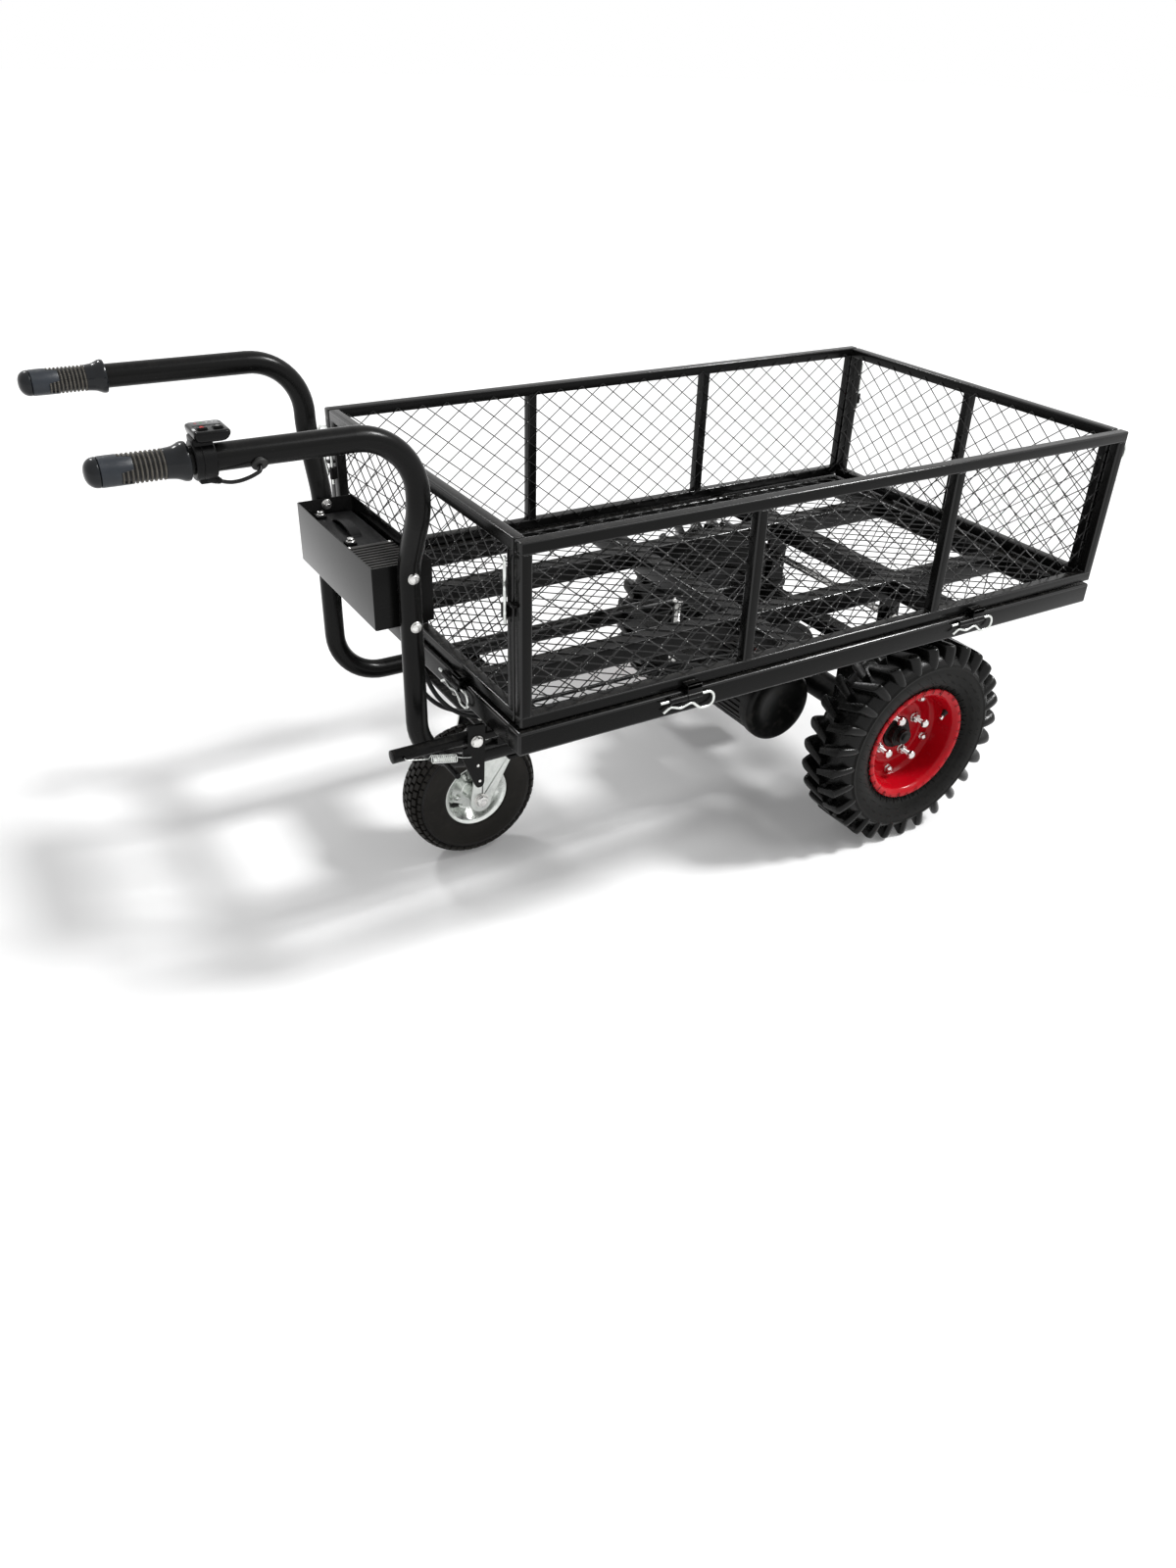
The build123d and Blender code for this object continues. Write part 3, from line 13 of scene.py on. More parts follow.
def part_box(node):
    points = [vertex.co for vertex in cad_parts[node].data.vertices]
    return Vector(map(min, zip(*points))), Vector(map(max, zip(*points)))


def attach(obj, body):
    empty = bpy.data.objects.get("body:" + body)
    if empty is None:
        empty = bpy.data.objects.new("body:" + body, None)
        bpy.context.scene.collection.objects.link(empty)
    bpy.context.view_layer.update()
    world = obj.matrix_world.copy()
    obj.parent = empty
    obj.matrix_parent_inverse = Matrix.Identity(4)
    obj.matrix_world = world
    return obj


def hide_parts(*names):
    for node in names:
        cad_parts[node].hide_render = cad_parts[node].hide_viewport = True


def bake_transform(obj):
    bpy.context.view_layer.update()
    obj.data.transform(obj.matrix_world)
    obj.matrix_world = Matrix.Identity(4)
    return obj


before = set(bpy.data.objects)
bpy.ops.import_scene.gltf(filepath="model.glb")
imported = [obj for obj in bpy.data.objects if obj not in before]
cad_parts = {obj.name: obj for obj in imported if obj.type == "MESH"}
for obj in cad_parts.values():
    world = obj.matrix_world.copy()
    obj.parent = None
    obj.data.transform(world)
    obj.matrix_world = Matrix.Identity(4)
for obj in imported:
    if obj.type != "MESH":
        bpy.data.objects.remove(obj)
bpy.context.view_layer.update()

bl_info = {
    "name": "Electric site cart",
    "version": (1, 0, 0),
    "blender": (4, 5, 0),
    "location": "3D View > Sidebar > Cart",
    "description": "Dresses the packed cart with its nets, tyres, grips, fittings and finishes",
    "category": "Object",
}

MM = 0.001


def corners(node):
    """Lowest and highest corner of a CAD node, in millimetres."""
    low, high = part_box(node)
    return low / MM, high / MM


def middle(node):
    """Middle of a CAD node's box, in millimetres."""
    low, high = corners(node)
    return (low + high) / 2


# Places of the bed and its panels, in millimetres
KNUCKLE_REACH = 12.5
BED_LOW, BED_HIGH = corners("bed_frame")
X0 = BED_LOW.x + KNUCKLE_REACH
X1 = BED_HIGH.x - KNUCKLE_REACH
HALF = BED_HIGH.y - KNUCKLE_REACH
BED_TOP = BED_HIGH.z
RAIL = 40
RAIL_LOW = BED_TOP - RAIL
RAIL_INNER = HALF - RAIL
JOIST_Y = 183
PIVOT_X = X0 + 965
MID_RAIL_X = X0 + 580
PANEL_BASE = BED_TOP + 2
PANEL_TALL = corners("side_panel_right_frame")[1].z - PANEL_BASE
PANEL_TUBE = 20
PANEL_INSET = 8
TAIL_OVERHANG = 8
HANDLE_END_FACE = X0 + PANEL_INSET
TAIL_FACE = X1 + TAIL_OVERHANG
SIDE_LENGTH = TAIL_FACE - HANDLE_END_FACE
END_LENGTH = 726
HINGE_OUT = 6.5
HINGE_Z = BED_TOP - 8
SIDE_HINGES = (X0 + 311, X0 + 961)
END_HINGES = (-182, 182)
CORNER_Y = 350
CORNER_CLIPS = (656, 678)

# Places of the handles, the box and the running gear, in millimetres
TUBE_Y = 187
TUBE_Z = 330
POST_X = X0 - 78
POST_Y = 204.6
POST_BOLTS = (596, 676)
SWIVEL_X = X0 + 150
STOP_X = MID_RAIL_X - 12
PLATE_TOP = 312
PLATE_UNDER = 300
GRIP_Y = middle("grip_left").y
GRIP_Z = middle("grip_left").z
GRIP_START = corners("grip_left")[0].x
CLAMP_START = corners("control_clamp")[0].x
HEAD_TOP = corners("control_head")[1].z
BUTTON_Y = -GRIP_Y - 13
BUTTONS = {"power_button": CLAMP_START + 15, "mode_button": CLAMP_START + 35}
LEAD_MOUTH = (CLAMP_START + 29, -246, 879)
LEAD_AHEAD = (CLAMP_START + 38, -248, 875.5)
GROMMET_X = middle("cable_grommet").x
LEVER = Vector((X0 - 19, -288, 419))
AXLE = middle("drive_rim_right")
CASTER = middle("caster_rim")
MOTOR = middle("motor_end_cap")
SIDES = (-1, 1)
SQUARE = ((-1, -1), (1, -1), (1, 1), (-1, 1))


def metres(name, description, default, low, high):
    """A size that a user may change."""
    return FloatProperty(
        name=name, description=description, default=default, min=low, max=high, unit="LENGTH",
    )


def count(name, description, default, low, high):
    """A number of like pieces that a user may change."""
    return IntProperty(name=name, description=description, default=default, min=low, max=high)


def paint(name, description, default):
    """A colour that a user may change."""
    return FloatVectorProperty(
        name=name, description=description, default=default, size=3, subtype="COLOR", min=0.0, max=1.0,
    )


def power(name, description, default, high=10.0):
    """The strength of a light that a user may change."""
    return FloatProperty(name=name, description=description, default=default, min=0.0, max=high)


class CartSizes(bpy.types.PropertyGroup):
    """Sizes of the cart's dressing"""

    rail_edge: metres("Rail corner", "Rounding of the bed rails' corners", 0.0045, 0.0005, 0.009)
    panel_edge: metres("Panel corner", "Rounding of the panel tubes' corners", 0.0028, 0.0005, 0.006)
    net_wire: metres("Net wire", "Half the thickness of the mesh wires", 0.00108, 0.0004, 0.002)
    net_weave: metres("Net weave", "How far a mesh wire rises and dips at a crossing", 0.0007, 0.0, 0.001)
    net_diamond: FloatVectorProperty(
        name="Net diamond", description="Length and height of one mesh diamond", default=(0.050, 0.039),
        size=2, unit="LENGTH",
    )
    lug_count: count("Lugs", "Lugs in one row of a drive tyre", 28, 8, 60)
    knurl_rings: count("Knurl rings", "Rings of fine dots on a grip", 10, 2, 20)
    cable_lengths: FloatVectorProperty(
        name="Power cables", description="Lengths of the two power cables", default=(0.947, 0.960),
        size=2, unit="LENGTH",
    )
    cable_thickness: metres("Power cable", "Diameter of a power cable", 0.008, 0.002, 0.02)
    lead_length: metres("Control lead", "Length of the control lead", 0.0630, 0.03, 0.2)
    lead_thickness: metres("Control lead diameter", "Diameter of the control lead", 0.0052, 0.002, 0.01)


class CartColours(bpy.types.PropertyGroup):
    """Colours of the cart's finishes"""

    black: paint("Black paint", "Gloss paint of the frame", (0.0042, 0.0042, 0.0041))
    red: paint("Red paint", "Gloss paint of the wheel rims", (0.44, 0.0025, 0.009))
    tyre: paint("Tyre rubber", "Rubber of the three tyres", (0.0075, 0.0075, 0.0070))
    grip: paint("Grip rubber", "Rubber of the two grips", (0.020, 0.024, 0.030))
    plastic: paint("Moulded plastic", "Control head, clamp and battery case", (0.009, 0.009, 0.0095))
    zinc: paint("Zinc", "Zinc plating of the caster and the clips", (0.66, 0.68, 0.655))
    steel: paint("Bright steel", "Bolts, nuts and pins", (0.74, 0.735, 0.72))
    dust: paint("Dust", "Dust that has settled on the cart", (0.24, 0.22, 0.19))


class CartStage(bpy.types.PropertyGroup):
    """Camera, floor and light"""

    camera_place: FloatVectorProperty(
        name="Camera place", description="Where the camera stands",
        default=(X0 * MM - 0.72725, -1.76891, 1.38056), size=3, subtype="TRANSLATION", unit="LENGTH",
    )
    camera_turn: FloatVectorProperty(
        name="Camera turn", description="How the camera is turned",
        default=(radians(57.5571), radians(-1.7120), radians(-30.9136)), size=3, subtype="EULER",
        unit="ROTATION",
    )
    lens: FloatProperty(
        name="Lens", description="Focal length of the camera", default=27.185, min=10.0, max=200.0,
        unit="CAMERA",
    )
    floor: paint("Floor", "Colour of the floor", (0.97, 0.97, 0.97))
    floor_lift: FloatProperty(
        name="Floor lift", description="Share of plain white in the floor as the camera sees it",
        default=0.12, min=0.0, max=1.0, subtype="FACTOR",
    )
    fill: power("Fill", "Strength of the light from all round", 0.38, 2.0)
    key: power("Key", "Strength of the broad main lamp", 0.5)
    spark: power("Spark", "Strength of the small lamp that puts glints on the edges", 3.1)
    rim: power("Rim", "Strength of the lamp behind the cart", 0.7)


class Signal:
    """A socket of a node tree that takes part in plain arithmetic."""

    def __init__(self, graph, socket):
        self.graph = graph
        self.socket = socket

    def _math(self, operation, first, second):
        return self.graph.node("ShaderNodeMath", {"operation": operation}, {0: first, 1: second})

    def __add__(self, other):
        return self._math("ADD", self, other)

    def __radd__(self, other):
        return self._math("ADD", other, self)

    def __sub__(self, other):
        return self._math("SUBTRACT", self, other)

    def __rsub__(self, other):
        return self._math("SUBTRACT", other, self)

    def __mul__(self, other):
        return self._math("MULTIPLY", self, other)

    def __rmul__(self, other):
        return self._math("MULTIPLY", other, self)


class Graph:
    """A node tree that is filled node by node."""

    def __init__(self, tree):
        self.tree = tree
        tree.nodes.clear()

    def node(self, kind, settings=None, inputs=None, output=0):
        """Adds a node, its settings first, then the values or links of its sockets."""
        made = self.tree.nodes.new(kind)
        for name, value in (settings or {}).items():
            setattr(made, name, value)
        for name, value in (inputs or {}).items():
            if isinstance(value, Signal):
                self.tree.links.new(value.socket, made.inputs[name])
            else:
                made.inputs[name].default_value = value
        return Signal(self, made.outputs[output]) if made.outputs else None


def solid(colour):
    """A plain colour with its fourth number, or a link as it is."""
    return colour if isinstance(colour, Signal) else (*tuple(colour)[:3], 1.0)


def lighter(colour, times):
    """The colour at several times its brightness."""
    return tuple(min(1.0, part * times) for part in tuple(colour)[:3])


class Finish(Graph):
    """A material whose grain, wear and gloss come from its own nodes."""

    def __init__(self, name):
        self.material = bpy.data.materials.new(name)
        self.material.use_nodes = True
        super().__init__(self.material.node_tree)
        self.place = self.node("ShaderNodeTexCoord", output="Object")
        self.colours = bpy.context.scene.cart_colours

    def tint(self, source, times):
        """One of the cart's colours at several times its brightness."""
        return lighter(getattr(self.colours, source), times)

    def noise(self, scale, detail, stretch=None, warp=0.0):
        """Soft random pattern with about scale spots to the metre, drawn out along some axes."""
        place = self.place
        if stretch:
            place = self.node("ShaderNodeVectorMath", {"operation": "MULTIPLY"}, {0: place, 1: stretch})
        sockets = {"Vector": place, "Scale": scale, "Detail": detail, "Distortion": warp}
        return self.node("ShaderNodeTexNoise", None, sockets)

    def cells(self, scale, output="Distance"):
        """Pattern of random cells."""
        return self.node("ShaderNodeTexVoronoi", None, {"Vector": self.place, "Scale": scale}, output)

    def spread(self, value, low, high):
        """A value drawn out from a range to the one from nothing to one, and held there."""
        return self.node("ShaderNodeMapRange", None, {0: value, 1: low, 2: high})

    def facing_up(self):
        """One where the surface looks up, nothing where it stands upright."""
        sockets = {0: self.node("ShaderNodeTexCoord", output="Normal"), 1: (0.0, 0.0, 1.0)}
        up = self.node("ShaderNodeVectorMath", {"operation": "DOT_PRODUCT"}, sockets, output="Value")
        return self.spread(up, 0.3, 0.95)

    def mix(self, share, first, second):
        """One colour over another."""
        sockets = {0: share, 6: solid(first), 7: solid(second)}
        return self.node("ShaderNodeMix", {"data_type": "RGBA"}, sockets, output=2)

    def shade(self, base, rough, height, depth, **constants):
        """Ends the tree in the surface shader, with a relief of a depth in metres."""
        relief = self.node("ShaderNodeBump", None, {"Strength": 1.0, "Distance": depth, "Height": height})
        sockets = {"Base Color": base, "Roughness": rough, "Normal": relief}
        sockets.update({name.replace("_", " "): value for name, value in constants.items()})
        shader = self.node("ShaderNodeBsdfPrincipled", None, sockets)
        self.node("ShaderNodeOutputMaterial", None, {"Surface": shader})
        return self.material


def gloss_coat(coat, gloss, specular, settled, peel=0.000022, lacquer=0.0):
    """Sprayed gloss paint: orange peel, rubbed streaks and a little settled dust."""
    skin = coat.noise(360.0, 2.0)
    slow = coat.noise(11.0, 3.0)
    streaks = coat.spread(coat.noise(60.0, 6.0, stretch=(1.0, 1.0, 5.0), warp=0.6), 0.60, 0.78)
    grains = coat.spread(coat.noise(90.0, 8.0), 0.46, 0.78) * coat.facing_up() * settled
    chips = coat.spread(coat.cells(70.0), 0.05, 0.025) * coat.spread(slow, 0.58, 0.66)
    base = coat.mix(grains * 0.22, coat.colours.black, coat.colours.dust)
    base = coat.mix(streaks * 0.08, base, coat.tint("black", 6.0))
    base = coat.mix(chips * 0.35, base, (0.10, 0.095, 0.09))
    rough = gloss + slow * 0.06 + streaks * 0.07 + grains * 0.22 + chips * 0.22
    return coat.shade(
        base, rough, skin + slow * 0.6 - chips * 0.8, peel, Specular_IOR_Level=specular, Coat_Weight=lacquer,
        Coat_IOR=1.8, Coat_Roughness=0.05,
    )


def red_coat(coat):
    """Thick glossy red rim paint, a little darker where it has run thin."""
    slow = coat.noise(16.0, 4.0)
    skin = coat.noise(420.0, 2.0)
    grime = coat.spread(coat.noise(48.0, 7.0), 0.56, 0.80)
    base = coat.mix(coat.spread(slow, 0.3, 0.7) * 0.3, coat.colours.red, (0.26, 0.0015, 0.005))
    base = coat.mix(grime * 0.22, base, (0.12, 0.01, 0.010))
    rough = 0.16 + slow * 0.08 + grime * 0.22
    return coat.shade(base, rough, skin + slow * 0.8, 0.00003, Specular_IOR_Level=0.16)


def rubber(coat, source, share, dust, gloss, grain, settled, specular=0.4, rise=0.00018):
    """Moulded rubber with a fine grain, scuffs and dust in its pores."""
    colour = coat.tint(source, share)
    pores = coat.noise(grain, 3.0)
    slow = coat.noise(20.0, 5.0)
    scuff = coat.spread(coat.noise(75.0, 7.0, warp=0.4), 0.54, 0.78)
    base = coat.mix(scuff * settled, colour, coat.tint("dust", dust))
    base = coat.mix(coat.spread(slow, 0.35, 0.7) * 0.5, base, lighter(colour, 1.9))
    rough = gloss + slow * 0.14 + scuff * 0.16 + pores * 0.06
    return coat.shade(base, rough, pores + slow * 0.5 + scuff * 0.6, rise, Specular_IOR_Level=specular)


def plastic(coat, colour, dust, gloss, grain=1900.0, specular=0.4, rise=0.00006):
    """Moulded plastic with spark-eroded grain and shiny rubbed patches."""
    spark = coat.cells(grain)
    slow = coat.noise(30.0, 4.0)
    rubbed = coat.spread(coat.noise(42.0, 5.0), 0.52, 0.74)
    specks = coat.spread(coat.noise(130.0, 6.0), 0.58, 0.8) * coat.facing_up()
    base = coat.mix(rubbed * 0.35, colour, lighter(colour, 1.8))
    base = coat.mix(specks * 0.12, base, coat.tint("dust", dust))
    rough = gloss + slow * 0.12 - rubbed * 0.10
    return coat.shade(base, rough, spark + slow * 0.4, rise, Specular_IOR_Level=specular)


def black_plastic(coat, share, dust, gloss, **grain):
    """Moulded plastic in a share of the cart's own plastic colour."""
    return plastic(coat, coat.tint("plastic", share), dust, gloss, **grain)


def plated(coat, source, share, shade, gloss, cell, drawn=None):
    """Plated metal: mottled crystals, drawing lines and dull water marks."""
    crystals = coat.node("ShaderNodeSeparateColor", None, {0: coat.cells(cell, "Color")})
    slow = coat.noise(26.0, 5.0)
    dull = coat.spread(coat.noise(58.0, 7.0, warp=0.5), 0.50, 0.76)
    lines = coat.noise(240.0, 4.0, stretch=drawn)
    base = coat.mix(crystals * 0.35, coat.tint(source, share), shade)
    base = coat.mix(dull * 0.30, base, lighter(shade, 0.7))
    rough = gloss + crystals * 0.08 + slow * 0.08 + dull * 0.20 + lines * 0.08
    return coat.shade(base, rough, lines + crystals * 0.3 + slow * 0.5, 0.00004, Metallic=1.0)


def alloy(coat):
    """Black anodised alloy with a fine drawn grain."""
    lines = coat.noise(420.0, 4.0, stretch=(1.0, 0.08, 1.0))
    slow = coat.noise(32.0, 4.0)
    base = coat.mix(coat.spread(slow, 0.35, 0.7) * 0.5, (0.030, 0.029, 0.028), (0.055, 0.053, 0.050))
    rough = 0.28 + lines * 0.18 + slow * 0.08
    return coat.shade(base, rough, lines, 0.00006, Metallic=0.4, Specular_IOR_Level=0.25)


def cast_paint(coat):
    """Satin black paint over cast and machined drive parts."""
    sand = coat.noise(700.0, 4.0)
    slow = coat.noise(18.0, 5.0)
    grime = coat.spread(coat.noise(52.0, 7.0), 0.52, 0.78)
    base = coat.mix(grime * 0.16, coat.tint("black", 1.2), coat.tint("dust", 0.6))
    rough = 0.24 + slow * 0.16 + grime * 0.25
    return coat.shade(base, rough, sand + slow * 0.8 + grime * 0.4, 0.00014, Specular_IOR_Level=0.14)


def lens(coat, colour):
    """Smoked or tinted lamp lens with faint wipe marks."""
    wipes = coat.noise(90.0, 5.0, stretch=(1.0, 6.0, 1.0))
    smears = coat.spread(wipes, 0.5, 0.75)
    base = coat.mix(smears * 0.25, colour, lighter(colour, 1.6))
    return coat.shade(base, 0.08 + smears * 0.16, wipes, 0.00002, Specular_IOR_Level=0.6)


# Shares, gloss and grain of the cart's finishes
FINISHES = {
    "coat_black": partial(gloss_coat, gloss=0.21, specular=0.11, settled=0.30),
    "coat_edge": partial(gloss_coat, gloss=0.12, specular=0.34, settled=0.10, peel=0.000012),
    "coat_tube": partial(gloss_coat, gloss=0.20, specular=0.12, settled=0.12, peel=0.000012),
    "coat_box": partial(gloss_coat, gloss=0.10, specular=0.25, settled=0.20, peel=0.000016, lacquer=0.06),
    "coat_net": partial(gloss_coat, gloss=0.20, specular=0.34, settled=0.10, peel=0.00006),
    "coat_red": red_coat,
    "cast_black": cast_paint,
    "rubber_tyre": partial(
        rubber, source="tyre", share=0.8, dust=0.45, gloss=0.30, grain=900.0, settled=0.05, specular=0.075,
    ),
    "rubber_worn": partial(
        rubber, source="dust", share=0.05, dust=0.5, gloss=0.26, grain=900.0, settled=0.07, specular=0.12,
    ),
    # Darker rubber on treads, the grooves between lugs and the knurl's core: its low share is painted shade
    "rubber_tread": partial(
        rubber, source="tyre", share=0.4, dust=0.3, gloss=0.13, grain=700.0, settled=0.02, specular=0.20,
    ),
    "rubber_grip": partial(
        rubber, source="grip", share=0.8, dust=0.5, gloss=0.20, grain=1500.0, settled=0.03, specular=0.28,
    ),
    "rubber_cap": partial(
        rubber, source="grip", share=0.22, dust=0.3, gloss=0.08, grain=900.0, settled=0.01, specular=0.26,
        rise=0.00003,
    ),
    "rubber_knurl": partial(
        rubber, source="dust", share=0.40, dust=0.7, gloss=0.34, grain=1500.0, settled=0.05, specular=0.40,
    ),
    "rubber_soft": partial(
        rubber, source="tyre", share=1.2, dust=0.5, gloss=0.46, grain=1100.0, settled=0.10,
    ),
    "plastic_head": partial(black_plastic, share=0.35, dust=0.3, gloss=0.12, specular=0.12, rise=0.00002),
    "plastic_strap": partial(black_plastic, share=0.4, dust=0.3, gloss=0.30, specular=0.12),
    "plastic_battery": partial(black_plastic, share=0.5, dust=0.4, gloss=0.34, grain=1300.0, specular=0.16),
    "plastic_sheath": partial(black_plastic, share=0.7, dust=0.5, gloss=0.30, grain=2400.0, specular=0.24),
    "plastic_red": partial(plastic, colour=(0.42, 0.012, 0.014), dust=1.0, gloss=0.30),
    "plastic_grey": partial(plastic, colour=(0.19, 0.19, 0.185), dust=1.0, gloss=0.36),
    "zinc_plate": partial(
        plated, source="zinc", share=1.0, shade=(0.50, 0.53, 0.50), gloss=0.20, cell=260.0,
        drawn=(1.0, 1.0, 9.0),
    ),
    "zinc_rim": partial(plated, source="zinc", share=1.1, shade=(0.56, 0.60, 0.57), gloss=0.10, cell=210.0),
    "zinc_wire": partial(plated, source="zinc", share=1.12, shade=(0.60, 0.61, 0.60), gloss=0.14, cell=900.0),
    "steel_bright": partial(
        plated, source="steel", share=1.0, shade=(0.58, 0.57, 0.55), gloss=0.14, cell=700.0,
    ),
    "steel_dark": partial(
        plated, source="steel", share=0.55, shade=(0.24, 0.235, 0.23), gloss=0.26, cell=500.0,
    ),
    # Bright bare metal on the net's crossing crests: painted glints
    "net_rub": partial(plated, source="steel", share=0.8, shade=(0.40, 0.40, 0.39), gloss=0.22, cell=900.0),
    "alloy_fins": alloy,
    "lens_dark": partial(lens, colour=(0.010, 0.010, 0.012)),
    "lens_red": partial(lens, colour=(0.45, 0.02, 0.02)),
    "lens_green": partial(lens, colour=(0.06, 0.30, 0.10)),
    "lens_clear": partial(lens, colour=(0.55, 0.56, 0.55)),
}


def finish(name):
    """One of the cart's finishes, made the first time it is asked for."""
    return bpy.data.materials.get(name) or FINISHES[name](Finish(name))


def dress(coat, *nodes, edge=0.0):
    """Gives CAD nodes that stay in view their finish, and rounds their edges with modifiers only."""
    for node in nodes:
        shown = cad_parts[node]
        for held in shown.material_slots:
            held.material = finish(coat)
        if edge:
            seam = shown.modifiers.new("closed seams", "WELD")
            seam.merge_threshold = 0.00001
            rounding = shown.modifiers.new("rounded edges", "BEVEL")
            rounding.width = edge * MM
            rounding.segments = 3
            rounding.limit_method = "ANGLE"
            rounding.angle_limit = radians(34)
            rounding.harden_normals = True


def at(x, y, z):
    """Place that is moved and not turned."""
    return Matrix.Translation((x, y, z))


def standing(x, y, z, turn):
    """Place turned by some degrees about the upright axis."""
    return at(x, y, z) @ Matrix.Rotation(radians(turn), 4, "Z")


def across_x(point):
    """Place whose turning axis runs along +X, with angles from +Y up to +Z."""
    return at(*point) @ Matrix(((0, 0, 1, 0), (1, 0, 0, 0), (0, 1, 0, 0), (0, 0, 0, 1)))


def across_y(point, side):
    """Place whose turning axis runs outwards along Y, with angles from +X."""
    return at(*point) @ Matrix(((1, 0, 0, 0), (0, 0, side, 0), (0, -side, 0, 0), (0, 0, 0, 1)))


def facing(point, way):
    """Place whose turning axis runs along any direction."""
    return at(*point) @ Vector(way).to_track_quat("Z", "Y").to_matrix().to_4x4()


def polar(place, radius, turn, along):
    """Point at a radius and an angle about a place's axis."""
    return place @ Vector((radius * cos(turn), radius * sin(turn), along))


def arc(steps, start=0):
    """Angles of a quarter turn in even steps."""
    return [pi / 2 * k / steps for k in range(start, steps + 1)]


def rounded(outline, reach, steps, loop=True):
    """A flat outline whose corners are turned into arcs that start a reach away from each corner."""
    points = [Vector(point) for point in outline]
    most = 0.46
    turned = []
    for index, here in enumerate(points):
        if not loop and index in (0, len(points) - 1):
            turned.append(here)
            continue
        back = points[index - 1] - here
        ahead = points[(index + 1) % len(points)] - here
        share = min(reach, most * back.length, most * ahead.length)
        start = here + back.normalized() * share
        end = here + ahead.normalized() * share
        for step in range(steps + 1):
            part = step / steps
            turned.append(start * (1 - part) ** 2 + here * (2 * part * (1 - part)) + end * part ** 2)
    return turned


def level_ring(low, high, bend, steps, height):
    """Level ring between two corners, with its own corners rounded."""
    outline = ((high[0], high[1]), (low[0], high[1]), (low[0], low[1]), (high[0], low[1]))
    return [point.to_3d() + Vector((0, 0, height)) for point in rounded(outline, bend, steps)]


def flowing(points, steps):
    """Points along a smooth line that passes through all the given ones."""
    points = [Vector(point) for point in points]
    line = []
    for index in range(len(points) - 1):
        before = points[max(index - 1, 0)]
        start = points[index]
        end = points[index + 1]
        after = points[min(index + 2, len(points) - 1)]
        for step in range(steps):
            part = step / steps
            bend = 2 * before - 5 * start + 4 * end - after
            twist = 3 * start - before - 3 * end + after
            line.append(0.5 * (2 * start + (end - before) * part + bend * part ** 2 + twist * part ** 3))
    line.append(points[-1])
    return line


